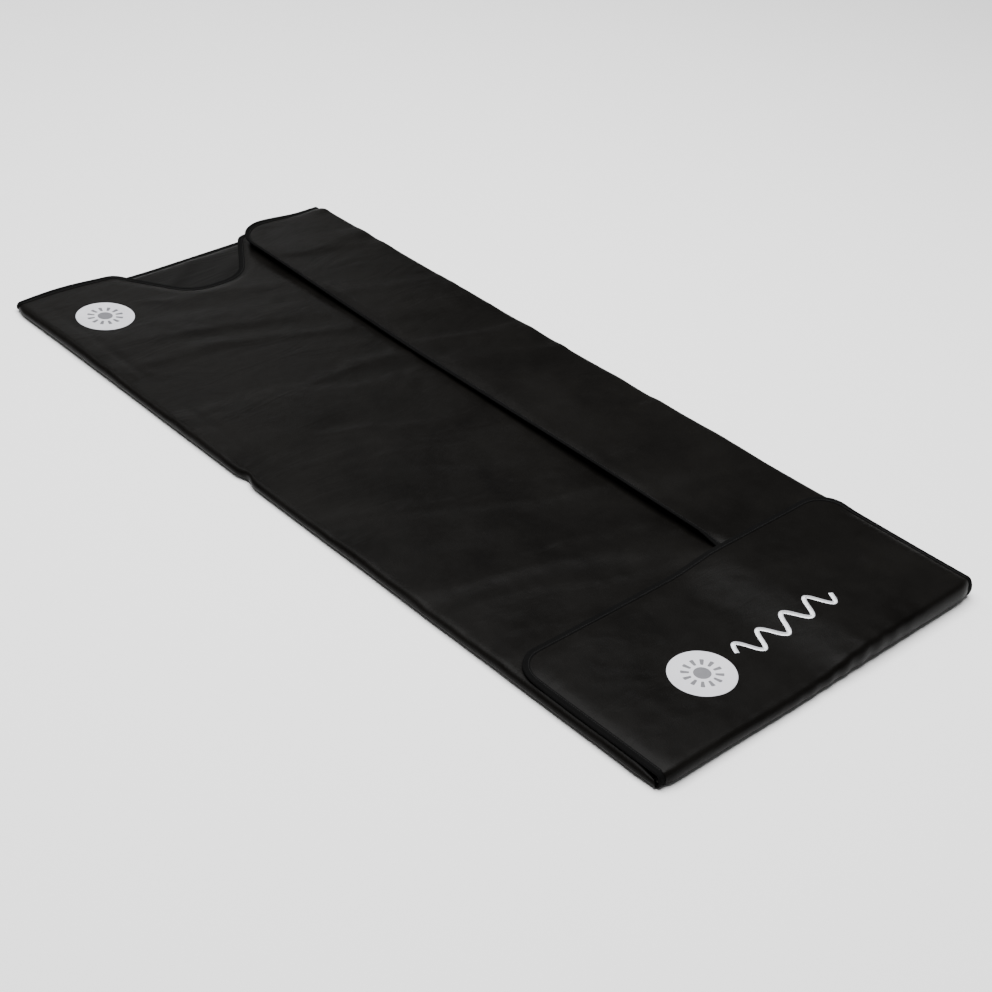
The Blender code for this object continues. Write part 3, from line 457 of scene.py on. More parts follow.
thread, thread_tree, thread_shader = principled("black_thread", (0.014, 0.014, 0.014), 0.6)
thread_shader.inputs["Specular IOR Level"].default_value = 0.25
twist = node(thread_tree, "ShaderNodeTexWave", Scale=900.0, bands_direction="DIAGONAL")
thread_tree.links.new(node(thread_tree, "ShaderNodeTexCoord").outputs["Object"],
                      twist.inputs["Vector"])
bumped(thread_tree, thread_shader, (twist.outputs["Fac"], 0.5, 0.2 * MM))


def run_length(line):
    """Distance along a line at each of its points."""
    return np.concatenate([[0], np.cumsum(np.linalg.norm(np.diff(line, axis=0), axis=1))])


def ring_index(rings, around):
    """Numbers of the points of rings set one behind another, and of the next point round."""
    index = np.arange(rings * around).reshape(rings, around)
    return index, np.roll(index, -1, axis=1)


def even(line, step):
    """The same line with its points evenly spaced, about a step apart."""
    at = run_length(line)
    wanted = np.linspace(0, at[-1], int(at[-1] / step) + 2)
    return np.column_stack([np.interp(wanted, at, line[:, k]) for k in range(line.shape[1])])


def folded_tape(name, edge, inward, up, material):
    """Tape folded over an edge: a U section, open towards inward, carried along the edge line.

    The U runs in from its round back by BINDING_REACH above and below, half a RIM each way.
    """
    half, reach = RIM / 2, BINDING_REACH
    turn = np.linspace(-math.pi / 2, math.pi / 2, 7)
    outer = np.column_stack([half * (1 - np.cos(turn)), half * np.sin(turn)])
    inner_half = half - TAPE_WALL
    inner = np.column_stack([TAPE_WALL + inner_half * (1 - np.cos(turn)),
                             inner_half * np.sin(turn)])[::-1]
    section = np.concatenate([[(reach, -half + 0.2 * MM)], outer, [(reach, half - 0.2 * MM)],
                              [(reach, inner_half)], inner, [(reach, -inner_half)]])
    ripple = 0.12 * MM * np.sin(np.arange(len(edge)) * 1.9)[:, None, None]
    rings = (edge[:, None] + inward[:, None] * section[None, :, :1]
             + up[:, None] * (section[None, :, 1:] + ripple))
    count, around = rings.shape[:2]
    index, after = ring_index(count, around)
    faces = np.stack([index[:-1], after[:-1], after[1:], index[1:]], -1).reshape(-1, 4)
    half_way = around // 2
    caps = np.array([[k, k + 1, around - 2 - k, around - 1 - k] for k in range(half_way - 1)])
    faces = np.concatenate([faces, caps[:, ::-1], caps + (count - 1) * around])
    piece = add_mesh(name, rings.reshape(-1, 3), faces, material, sharp=60)
    length = run_length(edge)
    across = np.linspace(0, 2 * reach, around)
    uv = np.stack(np.broadcast_arrays(length[:, None], across[None]), -1).reshape(-1, 2)
    layer = piece.data.uv_layers.new(name="along_tape")
    corner = np.empty(len(piece.data.loops), int)
    piece.data.loops.foreach_get("vertex_index", corner)
    layer.data.foreach_set("uv", uv[corner].ravel())
    return piece


def stitches(name, line, up, material, radius=STITCH_RADIUS, length=STITCH_LENGTH,
             pitch=STITCH_PITCH, slant=0.06):
    """A seam: short threads laid end to end along a line, each sunk into the cloth at its ends."""
    at = run_length(line)
    middles = np.arange(pitch / 2, at[-1] - pitch / 2, pitch)

    def read(values, where):
        return np.column_stack([np.interp(where, at, values[:, k]) for k in range(3)])

    centre = read(line, middles)
    along = read(line, middles + pitch / 3) - read(line, middles - pitch / 3)
    along /= np.linalg.norm(along, axis=1, keepdims=True)
    rise = read(up, middles)
    side = np.cross(rise, along)
    along = along + slant * side
    sides, rings = 5, 6
    t = np.linspace(-1, 1, rings)
    girth = radius * np.sqrt(np.clip(1 - t ** 4, 0.02, 1))
    angle = np.linspace(0, 2 * math.pi, sides, endpoint=False)
    shape = np.stack(np.broadcast_arrays(t[:, None] * length / 2,
                                         girth[:, None] * np.cos(angle),
                                         girth[:, None] * np.sin(angle)
                                         - 0.7 * radius * t[:, None] ** 4), -1).reshape(-1, 3)
    points = (centre[:, None] + along[:, None] * shape[None, :, :1]
              + side[:, None] * shape[None, :, 1:2] + rise[:, None] * shape[None, :, 2:])
    index, after = ring_index(rings, sides)
    wall = np.stack([index[:-1], index[1:], after[1:], after[:-1]], -1).reshape(-1, 4)
    first, last = index[0], index[-1]
    ends = np.array([first[:4], last[3::-1]])
    corners = np.array([[first[0], first[3], first[4]], [last[4], last[3], last[0]]])
    shift = (np.arange(len(centre)) * rings * sides)[:, None, None]
    quads = (np.concatenate([wall, ends])[None] + shift).reshape(-1, 4)
    triangles = (corners[None] + shift).reshape(-1, 3)
    return add_mesh(name, points.reshape(-1, 3), [*quads.tolist(), *triangles.tolist()], material)


BEZEL_LOW, BEZEL_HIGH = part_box("inlet_bezel")
for tape_name, run_start, run_end in (
        ("base_head_binding_right", FOLD_X, BEZEL_HIGH.x + MM),
        ("base_head_binding_left", BEZEL_LOW.x - MM, -FOLD_X)):
    run = even(np.array([(run_start, HEAD, RIM / 2), (run_end, HEAD, RIM / 2)]), 6 * MM)
    run_in = np.tile((0.0, -1.0, 0.0), (len(run), 1))
    run_up = np.tile((0.0, 0.0, 1.0), (len(run), 1))
    tape = folded_tape(tape_name + "_tape", run, run_in, run_up, tape_cloth)
    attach(tape, "root")
    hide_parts(tape_name)
    seam = stitches(tape_name + "_seam", run + STITCH_IN * run_in + RIM / 2 * run_up, run_up, thread)
    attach(seam, "root")

# --------------------------------------------------------------------------------- the left flap
# The wide flap: leather over batting, bound all round, with the neck opening cut from its head
# edge. Its leather is one piece with the fold at the left side. The batting lets the leather
# settle into soft slanting folds, which a cloth simulation gives.

LEFT_TOP = 2 * JOINTS["left_flap_fold"]["pos_m"][2]
LEFT_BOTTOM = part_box("left_flap_liner")[0].z
LEFT_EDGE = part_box("left_margin_binding")[1].x
SIDE_FOOT_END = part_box("left_margin_binding")[0].y
FOLD_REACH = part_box("right_fold_cover")[1].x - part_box("right_flap_cover")[1].x
LEFT_CORNER = 26 * MM
FOOT_SETBACK = 6 * MM
NECK_TOP, NECK_BOTTOM, NECK_DEPTH = 156 * MM, 58 * MM, 146 * MM
NECK_RIM_RADIUS, NECK_RADIUS = 32 * MM, 85 * MM
ARC_STEPS = 12
NET_PITCH = 13 * MM
NET_FRAMES = 20


def box_middle(node_name):
    """The (x, y) in the middle of a CAD node."""
    return np.array([(a + b) / 2 for a, b in zip(*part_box(node_name))][:2])


def edge_line(corners, inset=0.0):
    """A panel's free edge, going anticlockwise, moved into the panel by inset.

    Straight runs, with a round arc at each corner (x, y, radius) but the two ends.
    """
    xy = np.array([corner[:2] for corner in corners], float)
    run = np.diff(xy, axis=0)
    run /= np.linalg.norm(run, axis=1, keepdims=True)
    start = xy[:-1] + inset * np.column_stack([-run[:, 1], run[:, 0]])
    line = [start[0]]
    for k in range(1, len(xy) - 1):
        into, out = run[k - 1], run[k]
        turn = math.atan2(into[0] * out[1] - into[1] * out[0], into @ out)
        meet = start[k - 1] + into * np.linalg.solve(np.column_stack([into, -out]),
                                                     start[k] - start[k - 1])[0]
        radius = max(corners[k][2] - math.copysign(inset, turn), MM)
        side = math.copysign(1, turn)
        begin = meet - into * radius * abs(math.tan(turn / 2))
        centre = begin + side * radius * np.array([-into[1], into[0]])
        swing = math.atan2(*(begin - centre)[::-1]) + turn * np.linspace(0, 1, ARC_STEPS + 1)
        line.extend(centre + radius * np.column_stack([np.cos(swing), np.sin(swing)]))
    line.append(start[-1] + run[-1] * np.linalg.norm(xy[-1] - xy[-2]))
    return np.array(line)


def panel_grid(line, axis, first, second, cell):
    """Grid of (x, y) that fills a panel from its fold line (row 0) to its free edge (last row).

    A Coons patch: two sides run along coordinate number axis, up to the corners that lie
    furthest in the directions first and second, and are joined by the free edge between them.
    """
    a, b = int(np.argmax(line @ first)), int(np.argmax(line @ second))
    side, free, other = line[:a + 1], line[a:b + 1], line[b:][::-1]
    rows = int(abs(side[-1, axis] - side[0, axis]) / cell) + 2
    places = int(abs(line[-1, 1 - axis] - line[0, 1 - axis]) / cell) + 2

    def spaced(curve, along, count):
        way = math.copysign(1, curve[-1, along] - curve[0, along])
        at = np.linspace(curve[0, along], curve[-1, along], count)
        return np.column_stack([np.interp(at * way, curve[:, along] * way, curve[:, k])
                                for k in (0, 1)])

    south, north = spaced(side, axis, rows)[:, None], spaced(other, axis, rows)[:, None]
    east = spaced(free, 1 - axis, places)[None]
    west = np.linspace(line[0], line[-1], places)[None]
    u, v = np.linspace(0, 1, rows)[:, None, None], np.linspace(0, 1, places)[None, :, None]
    corner_mix = ((1 - u) * ((1 - v) * line[0] + v * line[-1])
                  + u * ((1 - v) * line[a] + v * line[b]))
    return (1 - u) * west + u * east + (1 - v) * south + v * north - corner_mix


def gap_to(plan, line):
    """Distance from each (x, y) to the nearest point of a line."""
    start, run = line[:-1], np.diff(line, axis=0)
    flat = plan.reshape(-1, 1, 2)
    t = np.clip(((flat - start) * run).sum(-1) / (run ** 2).sum(-1), 0, 1)
    off = start + t[..., None] * run - flat
    return np.sqrt((off ** 2).sum(-1)).min(1).reshape(plan.shape[:2])


def settled_net(low, high, slack, angle, seed):
    """Heights of a cloth net that settles on batting, as a function of (x, y).

    The net is held at its four edges and is cut longer by slack along a slanting direction, and
    weak ties to the batting hold its middle, so it buckles into soft folds across that direction.
    """
    xs = np.arange(low[0], high[0] + NET_PITCH, NET_PITCH)
    ys = np.arange(low[1], high[1] + NET_PITCH, NET_PITCH)
    plan = np.stack(np.meshgrid(xs, ys, indexing="ij"), -1)
    bumps = 0.8 * MM * np.random.default_rng(seed).normal(size=plan.shape[:2])
    points = at_height(plan, bumps).reshape(-1, 3)
    index = np.arange(len(points)).reshape(plan.shape[:2])
    quads = np.stack([index[:-1, :-1], index[1:, :-1], index[1:, 1:], index[:-1, 1:]], -1)
    net = add_mesh("net", points, quads.reshape(-1, 4), hide)
    way = np.array([math.cos(angle), math.sin(angle), 0])
    net.shape_key_add(name="held")
    cut = net.shape_key_add(name="cut")
    cut.data.foreach_set("co", (points + slack * (points @ way)[:, None] * way).ravel())
    ties = net.vertex_groups.new(name="ties")
    rim = np.ones(plan.shape[:2], bool)
    rim[1:-1, 1:-1] = False
    ties.add(index[rim].tolist(), 1.0, "REPLACE")
    ties.add(index[~rim].tolist(), 0.03, "REPLACE")
    sim = net.modifiers.new("settle", "CLOTH")
    sim.settings.quality = 5
    sim.settings.mass = 0.35
    sim.settings.bending_stiffness = 0.6
    sim.settings.tension_stiffness = sim.settings.compression_stiffness = 20
    sim.settings.vertex_group_mass = "ties"
    sim.settings.pin_stiffness = 0.6
    sim.settings.rest_shape_key = cut
    sim.settings.effector_weights.gravity = 0
    sim.collision_settings.use_collision = False
    for step in range(1, NET_FRAMES + 1):
        bpy.context.scene.frame_set(step)
    shown = net.evaluated_get(bpy.context.evaluated_depsgraph_get())
    settled = np.empty(len(points) * 3)
    shown.data.vertices.foreach_get("co", settled)
    heights = settled.reshape(*plan.shape[:2], 3)[..., 2]
    bpy.data.objects.remove(net)
    bpy.context.scene.frame_set(1)
    heights = heights / (heights.std() + 1e-9)
    return lambda x, y: spline_read(heights, (x - low[0]) / NET_PITCH, (y - low[1]) / NET_PITCH)


def fold_band(row, side_in, reach, heights, foot_in, steps=14):
    """Rows of points from under the base, out round a fold, up to the flap's first row.

    Each place of the row has a half ellipse that stands out by reach from the fold line, away
    from side_in, and rises from heights[0] to heights[1]. Its lower rows shift by foot_in along Y.
    """
    angle = np.linspace(-math.pi / 2, math.pi / 2, steps)[:-1, None]
    low, high = heights
    out = np.concatenate([np.full((1, len(row)), -12 * MM), reach * np.cos(angle) ** 0.8])
    rise = np.concatenate([[[0.0]], (1 + np.sin(angle)) / 2])
    shift = ((1 - rise ** 10) * foot_in)[..., None] * np.array([0.0, 1.0])
    xy = row - out[..., None] * side_in + shift
    return np.concatenate([xy, (low + (high - low) * rise)[..., None]], -1)


LEFT_CORNERS = [(-FOLD_X, FOLD_Y + FOOT_SETBACK, 0), (LEFT_EDGE, SIDE_FOOT_END, LEFT_CORNER),
                (LEFT_EDGE, HEAD, LEFT_CORNER), (NECK_TOP, HEAD, NECK_RIM_RADIUS),
                (NECK_BOTTOM, HEAD - NECK_DEPTH, NECK_RADIUS),
                (-NECK_BOTTOM, HEAD - NECK_DEPTH, NECK_RADIUS),
                (-NECK_TOP, HEAD, NECK_RIM_RADIUS), (-FOLD_X, HEAD, 0)]
left_outer = edge_line(LEFT_CORNERS)
left_seam = edge_line(LEFT_CORNERS, BINDING_REACH - TUCK)
HEAD_BADGE = box_middle("head_badge")
HEAD_BADGE[1] -= ease(*HEAD_BADGE)
BADGE_FLAT = 72 * MM
UNDER_RIGHT = 0.10, 0.16
UNDER_FOOT = -0.58, -0.54
STORAGE_CREASE, CREASE_WIDTH, CREASE_DEPTH = 0.13, 16 * MM, 8 * MM
FOLD_ROUND = 24 * MM
SHOULDER = 32 * MM
left_net = settled_net((-FOLD_X, SIDE_FOOT_END), (LEFT_EDGE, HEAD), 0.05, 1.25, 11)


def left_lip(plan):
    """The bound edge lifts a little near the head corner and round the neck opening."""
    near = np.clip(1 - gap_to(plan, left_outer) / SLOPE, 0, 1) ** 2
    x, y = plan[..., 0], plan[..., 1]
    corner = smooth_step(y, 0.70, 0.86) * np.exp(-((x + 0.27) / 0.10) ** 2)
    return near * (6 * MM * corner + 0.8 * MM * smooth_step(y, 0.6, 0.8)
                   + 0.5 * MM * np.clip(1 + hollows(x, y, 0.09, 3.3), 0, 2))


def left_height(plan):
    """Height of the left flap's leather: a padded panel with folds, flat beneath the badge."""
    x, y = plan[..., 0], plan[..., 1]
    up = crown(gap_to(plan, left_seam))
    away = 1 - np.exp(-(np.hypot(x - HEAD_BADGE[0], y - HEAD_BADGE[1]) / BADGE_FLAT) ** 6)
    under = np.maximum(smooth_step(x, *UNDER_RIGHT), 1 - smooth_step(y, *UNDER_FOOT))
    dents = (0.45 * MM * left_net(x, y) + 1.9 * MM * soft_folds(x, y, -0.39, 0.36, 0.060, 0.4)
             + 0.9 * MM * soft_folds(x, y, -0.28, 0.20, 0.030, 4.4)
             + 1.2 * MM * hollows(x, y, 0.16, 1.2)
             - 1.8 * MM * np.exp(-((x + FOLD_X - SHOULDER) / (7 * MM)) ** 2)
             * smooth_step(y, -0.2, 0.3))
    raised = softened(dents, 3.4 * MM, 1.1 * MM) * away * up * (1 - 0.75 * under)
    return LEFT_BOTTOM + RIM - MM + (LEFT_TOP - LEFT_BOTTOM - RIM + MM) * up + raised + left_lip(plan)


left_plan = panel_grid(left_seam, 0, (1, -1), (1, 1), 7.5 * MM)
left_top = at_height(left_plan, left_height(left_plan))
left_y = left_plan[0, :, 1]
creased = np.exp(-((left_y - STORAGE_CREASE) / CREASE_WIDTH) ** 2)
left_reach = (FOLD_REACH - CREASE_DEPTH * creased + 0.9 * MM * hollows(left_y, 0 * left_y, 0.11, 6.2)
              - 5 * MM * (1 - crown(HEAD - BINDING_REACH - left_y)))
foot_end = 1 - smooth_step(left_y, left_y[0], left_y[0] + FOLD_ROUND)
left_reach -= 3 * MM * foot_end
left_band = fold_band(left_plan[0], np.array([1.0, 0.0]), left_reach,
                      (0.6 * MM + 0 * left_y, left_top[0, :, 2]), (FOLD_Y - 4 * MM - left_y[0]) * foot_end)
left_flap_leather = cloth("left_flap_leather", np.concatenate([left_band, left_top]), LEATHER_WALL,
                          hide)
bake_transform(left_flap_leather)
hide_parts("left_flap_cover", "left_fold_cover", "left_flap_margin")

# The left flap's binding: one tape that turns up round the fold at the foot end, follows the free
# side, the head edge and the neck opening, and turns round the fold again down to the base

EDGE_STEP = 6 * MM
TAPE_FOLD_REACH = 8.5 * MM


def lifted_edge(line, height, lip, step=EDGE_STEP):
    """Edge line of a flap with its inward and upward directions, all as arrays of 3-D rows.

    Inward falls or rises by the difference of the lift between the edge and the binding's reach.
    """
    line = even(line, step)
    way = np.gradient(line, axis=0)
    way /= np.linalg.norm(way, axis=1, keepdims=True)
    across = np.column_stack([-way[:, 1], way[:, 0]])
    lift, lift_in = (lip(at[:, None])[:, 0] for at in (line, line + BINDING_REACH * across))
    inward = np.column_stack([across, (lift_in - lift) / BINDING_REACH])
    return (np.column_stack([line, height + lift]), inward,
            np.tile((0.0, 0.0, 1.0), (len(line), 1)))


def tape_round_fold(end_point, inward, out, base_height, steps=9):
    """The stretch of tape that turns from a flap's edge at end_point round the fold to the base."""
    angle = np.linspace(math.pi / 2, -math.pi / 2, steps)[1:, None]
    middle, half = (end_point[2] + base_height) / 2, (end_point[2] - base_height) / 2
    up_way = np.array([0.0, 0.0, 1.0])
    flat = np.array([end_point[0], end_point[1], middle])
    line = flat + TAPE_FOLD_REACH * np.cos(angle) * out + half * np.sin(angle) * up_way
    up = np.cos(angle) * out + np.sin(angle) * up_way
    return line, np.tile(inward, (steps - 1, 1)), up


def joined(*stretches):
    """Stretches of tape laid end to end as one."""
    return [np.concatenate(rows) for rows in zip(*stretches)]


def backwards(stretch):
    """A stretch of tape followed the other way."""
    return [rows[::-1] for rows in stretch]


def seams(name, stretch, body, depth=STITCH_IN):
    """The two visible sides of a binding's seam, above and below."""
    line, inward, up = stretch
    for side, way in (("top", 1), ("under", -1)):
        row = stitches(f"{name}_{side}", line + depth * inward + way * RIM / 2 * up, way * up,
                       thread)
        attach(row, body)


WEST, EAST = np.array([-1.0, 0, 0]), np.array([1.0, 0, 0])
SOUTH, NORTH = np.array([0, -1.0, 0]), np.array([0, 1.0, 0])
left_edge = lifted_edge(left_outer, LEFT_BOTTOM + RIM / 2, left_lip)
left_turn = tape_round_fold(left_edge[0][-1], SOUTH, WEST, RIM / 2)
left_foot_turn = backwards(tape_round_fold(left_edge[0][0], NORTH, WEST, RIM / 2))
left_tape = folded_tape("left_flap_tape", *joined(left_foot_turn, left_edge, left_turn), tape_cloth)
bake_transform(left_tape)
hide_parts("left_flap_binding", "left_margin_binding")
seams("left_flap_seam", left_edge, "left_flap")

# Inner lining of the left flap, and the strip that joins it to the base's lining in the fold


def lining_height(plan, seam, height, lip, drop=None):
    """Height of a flap's inner side: flat, a little wavy, and following its lifted edges."""
    x, y = plan[..., 0], plan[..., 1]
    inside = crown(gap_to(plan, seam), 12 * MM)
    return (height + 1.0 * MM - 0.8 * MM * inside + lip(plan) - (drop(x) if drop else 0)
            + 0.35 * MM * inside * np.clip(hollows(x, y, 0.06, 2.2), -1, 1))


def flap_lining(name, seam, axis, first, second, height, lip, body, node_name, drop=None):
    """The smooth sheet on a flap's inner side, sewn in with the leather along the edge."""
    plan = panel_grid(seam, axis, first, second, 11 * MM)[:, ::-1]
    sheet = cloth(name, at_height(plan, lining_height(plan, seam, height, lip, drop)), LINER_WALL,
                  lining)
    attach(sheet, body)
    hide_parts(node_name)


def fold_strip(name, row, out, bulge, heights, node_name):
    """The lining strip inside a fold: it joins base and flap linings in one soft half round."""
    angle = np.linspace(-math.pi / 2, math.pi / 2, 9)[:, None, None]
    low, high = heights
    inset = 8 * MM * (np.abs(np.sin(angle)) ** 6)
    z = (low + high) / 2 + (high - low) / 2 * np.sin(angle[..., 0]) * np.ones((1, len(row)))
    z = z + 0.3 * MM * np.cos(angle[..., 0]) * hollows(row[:, 0] + row[:, 1], 0 * row[:, 0], 0.05, 1)
    xy = row + (bulge * np.cos(angle) - inset) * out[:2]
    face = np.concatenate([xy, z[..., None]], -1)[::-1]
    strip = cloth(name, face, LINER_WALL, lining)
    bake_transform(strip)
    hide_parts(node_name)


flap_lining("left_flap_lining", left_seam, 0, (1, -1), (1, 1), LEFT_BOTTOM, left_lip, "left_flap",
            "left_flap_liner")
side_row = np.linspace((-FOLD_X, FOLD_Y + FOOT_SETBACK), (-FOLD_X, HEAD - BINDING_REACH), 160)
fold_strip("left_fold_lining", side_row, WEST, 3 * MM, (BASE_TOP - 0.4 * MM, LEFT_BOTTOM + 0.6 * MM),
           "left_fold_liner")

# -------------------------------------------------------------------------------- the right flap
# The narrow flap closes over the left one. It is made the same way; its head corner is cut to a
# large radius, its free edge runs slightly aslant and stands off the flap below.

RIGHT_TOP = 2 * JOINTS["right_flap_fold"]["pos_m"][2]
RIGHT_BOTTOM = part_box("right_flap_liner")[0].z
RIGHT_EDGE_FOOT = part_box("right_margin_binding")[0].x
RIGHT_EDGE_HEAD = RIGHT_EDGE_FOOT + 32 * MM
RIGHT_HEAD_CORNER, RIGHT_FOOT_CORNER = 80 * MM, 30 * MM
LIFTED = 45 * MM
RIGHT_CORNERS = [(FOLD_X, HEAD, 0), (RIGHT_EDGE_HEAD, HEAD, RIGHT_HEAD_CORNER),
                 (RIGHT_EDGE_FOOT, SIDE_FOOT_END, RIGHT_FOOT_CORNER), (FOLD_X, FOLD_Y + FOOT_SETBACK, 0)]
right_outer = edge_line(RIGHT_CORNERS)
right_seam = edge_line(RIGHT_CORNERS, BINDING_REACH - TUCK)
FOOT_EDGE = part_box("foot_flap_binding")[1].y
right_net = settled_net((RIGHT_EDGE_FOOT, SIDE_FOOT_END), (FOLD_X, HEAD), 0.05, 1.9, 23)


def right_lip(plan):
    """The free edge stands off the left flap in long shallow waves, but not under the foot flap."""
    near = np.clip(1 - gap_to(plan, right_outer) / LIFTED, 0, 1) ** 2
    x, y = plan[..., 0], plan[..., 1]
    shown = smooth_step(y, FOOT_EDGE - 10 * MM, FOOT_EDGE + 60 * MM) * smooth_step(-x, -0.33, -0.2)
    return near * shown * (7.5 * MM + 2.2 * MM * hollows(y, 0 * y, 0.22, 7.7)
                           + 3.0 * MM * smooth_step(-y, 0.0, 0.4)
                           + 3.0 * MM * smooth_step(y, 0.5, 0.8))


def right_height(plan):
    """Height of the right flap's leather: a padded panel with a few slanting folds."""
    x, y = plan[..., 0], plan[..., 1]
    up = crown(gap_to(plan, right_seam))
    dents = (0.4 * MM * right_net(x, y) + 1.7 * MM * soft_folds(x, y, -0.28, 0.30, 0.050, 3.1)
             + 0.7 * MM * soft_folds(x, y, -0.15, 0.18, 0.028, 1.1)
             + 1.1 * MM * hollows(x, y, 0.14, 4.6))
    dents = softened(dents, 3.0 * MM, 1.0 * MM)
    under = 1 - smooth_step(y, FOOT_EDGE - 20 * MM, FOOT_EDGE + 15 * MM)
    rise = RIGHT_TOP - RIGHT_BOTTOM - RIM + MM
    return (RIGHT_BOTTOM + RIM - MM + rise * up + dents * up * (1 - 0.8 * under)
            + right_lip(plan))


right_plan = panel_grid(right_seam, 0, (-1, 1), (-1, -1), 6.5 * MM)
right_top = at_height(right_plan, right_height(right_plan))
right_y = right_plan[0, :, 1]
right_reach = (FOLD_REACH + 0.9 * MM * hollows(right_y, 0 * right_y, 0.13, 2.2)
               - 5 * MM * (1 - crown(HEAD - BINDING_REACH - right_y)))
foot_end = 1 - smooth_step(right_y, right_y[-1], right_y[-1] + FOLD_ROUND)
right_reach -= 3 * MM * foot_end
right_band = fold_band(right_plan[0], WEST[:2], right_reach,
                       (0.6 * MM + 0 * right_y, right_top[0, :, 2]),
                       (FOLD_Y - right_y[-1]) * foot_end)
right_flap_leather = cloth("right_flap_leather", np.concatenate([right_band, right_top]),
                           LEATHER_WALL, hide)
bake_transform(right_flap_leather)
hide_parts("right_flap_cover", "right_fold_cover", "right_flap_margin")

right_edge = lifted_edge(right_outer, RIGHT_BOTTOM + RIM / 2, right_lip)
right_turn = backwards(tape_round_fold(right_edge[0][0], SOUTH, EAST, RIM / 2))
right_foot_turn = tape_round_fold(right_edge[0][-1], NORTH, EAST, RIM / 2)
right_tape = folded_tape("right_flap_tape", *joined(right_turn, right_edge, right_foot_turn),
                         tape_cloth)
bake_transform(right_tape)
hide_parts("right_flap_binding", "right_margin_binding")
seams("right_flap_seam", right_edge, "right_flap")

# The right flap's batting: polyester felt that fills the flap from its lining to its leather

felt = grained("insulation_felt", (0.55, 0.54, 0.50), 0.95, (0.48, 0.47, 0.43),
               (0.60, 0.59, 0.55), (0.9, 1.0), 260.0, 0.8, 2 * MM)


def batting(name, top, bottom, body, node_name):
    """Felt filling: its face lies just under the leather's grid, its back just above the lining."""
    thick = top[..., 2] - LEATHER_WALL - bottom - LINER_WALL - 0.6 * MM
    filling = cloth(name, top - (0, 0, LEATHER_WALL + 0.3 * MM), np.maximum(thick, 0.3 * MM), felt)
    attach(filling, body)
    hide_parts(node_name)


batting("right_flap_batting", right_top,
        lining_height(right_plan, right_seam, RIGHT_BOTTOM, right_lip), "right_flap",
        "right_flap_insulation")
flap_lining("right_flap_lining", right_seam, 0, (-1, 1), (-1, -1), RIGHT_BOTTOM, right_lip,
            "right_flap", "right_flap_liner")
fold_strip("right_fold_lining", (side_row * (-1, 1))[::-1], EAST, 7.5 * MM,
           (BASE_TOP - 0.4 * MM, RIGHT_BOTTOM + 0.6 * MM),
           "right_fold_liner")

# --------------------------------------------------------------------------------- the foot flap
# A short flap that folds up over both side flaps. It lies lower where only the left flap is
# beneath it, and steps up over the right flap's edge. The leather gathers where it turns under.

FOOT_TOP = 2 * JOINTS["foot_flap_fold"]["pos_m"][2]
FOOT_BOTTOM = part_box("foot_flap_liner")[1].z - 1 * MM
FOOT_DROP = RIGHT_TOP - LEFT_TOP
FOOT_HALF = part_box("foot_flap_binding")[1].x
FOOT_CORNER = 58 * MM
STEP_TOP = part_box("right_margin_binding")[0].x - 4 * MM
STEP_WIDTH = 125 * MM
GATHER_MIDDLE, GATHER_PITCH = 0.05, 0.0065
FOOT_CORNERS = [(FOOT_HALF, FOLD_Y, 0), (FOOT_HALF, FOOT_EDGE, FOOT_CORNER),
                (-FOOT_HALF, FOOT_EDGE, FOOT_CORNER), (-FOOT_HALF, FOLD_Y, 0)]
foot_outer = edge_line(FOOT_CORNERS)
foot_seam = edge_line(FOOT_CORNERS, BINDING_REACH - TUCK)
foot_net = settled_net((-FOOT_HALF, FOLD_Y), (FOOT_HALF, FOOT_EDGE), 0.04, 0.5, 37)


def foot_drop(x):
    """How much lower the foot flap lies at x than over the right flap."""
    return FOOT_DROP * (1 - smooth_step(x, STEP_TOP - STEP_WIDTH, STEP_TOP))


def foot_lip(plan):
    """The bound edge waves slightly, lifts at the round corners and droops over the side folds."""
    near = np.clip(1 - gap_to(plan, foot_outer) / SLOPE, 0, 1) ** 2
    x, y = plan[..., 0], plan[..., 1]
    corner = smooth_step(y, FOOT_EDGE - 0.09, FOOT_EDGE - 0.01) * smooth_step(abs(x), 0.28, 0.36)
    droop = 3 * MM * smooth_step(abs(x), FOOT_HALF - 22 * MM, FOOT_HALF + 4 * MM)
    droop = droop * (1 - smooth_step(y, FOOT_EDGE - 0.09, FOOT_EDGE - 0.03))
    return near * (1.6 * MM * corner
                   + 0.6 * MM * np.clip(1 + hollows(x, y, 0.10, 8.8), 0, 2)) - droop


def foot_height(plan):
    """Height of the foot flap's leather: a flat padded panel with a slight swell."""
    x, y = plan[..., 0], plan[..., 1]
    up = crown(gap_to(plan, foot_seam))
    gathers = np.exp(-((y - FOLD_Y) / 0.022) ** 2) * np.cos(x / GATHER_PITCH + 2 * hollows(x, y, 0.05))
    gathers *= np.exp(-((x - GATHER_MIDDLE) / 0.12) ** 2)
    dents = (0.35 * MM * foot_net(x, y) + 0.8 * MM * hollows(x, y, 0.17, 0.7)
             + 0.45 * MM * soft_folds(x, y, 0.9, 0.18, 0.05, 1.9) + 0.7 * MM * gathers)
    dents = softened(dents, 2.4 * MM, 0.9 * MM)
    rise = FOOT_TOP - FOOT_BOTTOM - RIM + MM
    return (FOOT_BOTTOM + RIM - MM + rise * up + dents * up + foot_lip(plan) - foot_drop(x))


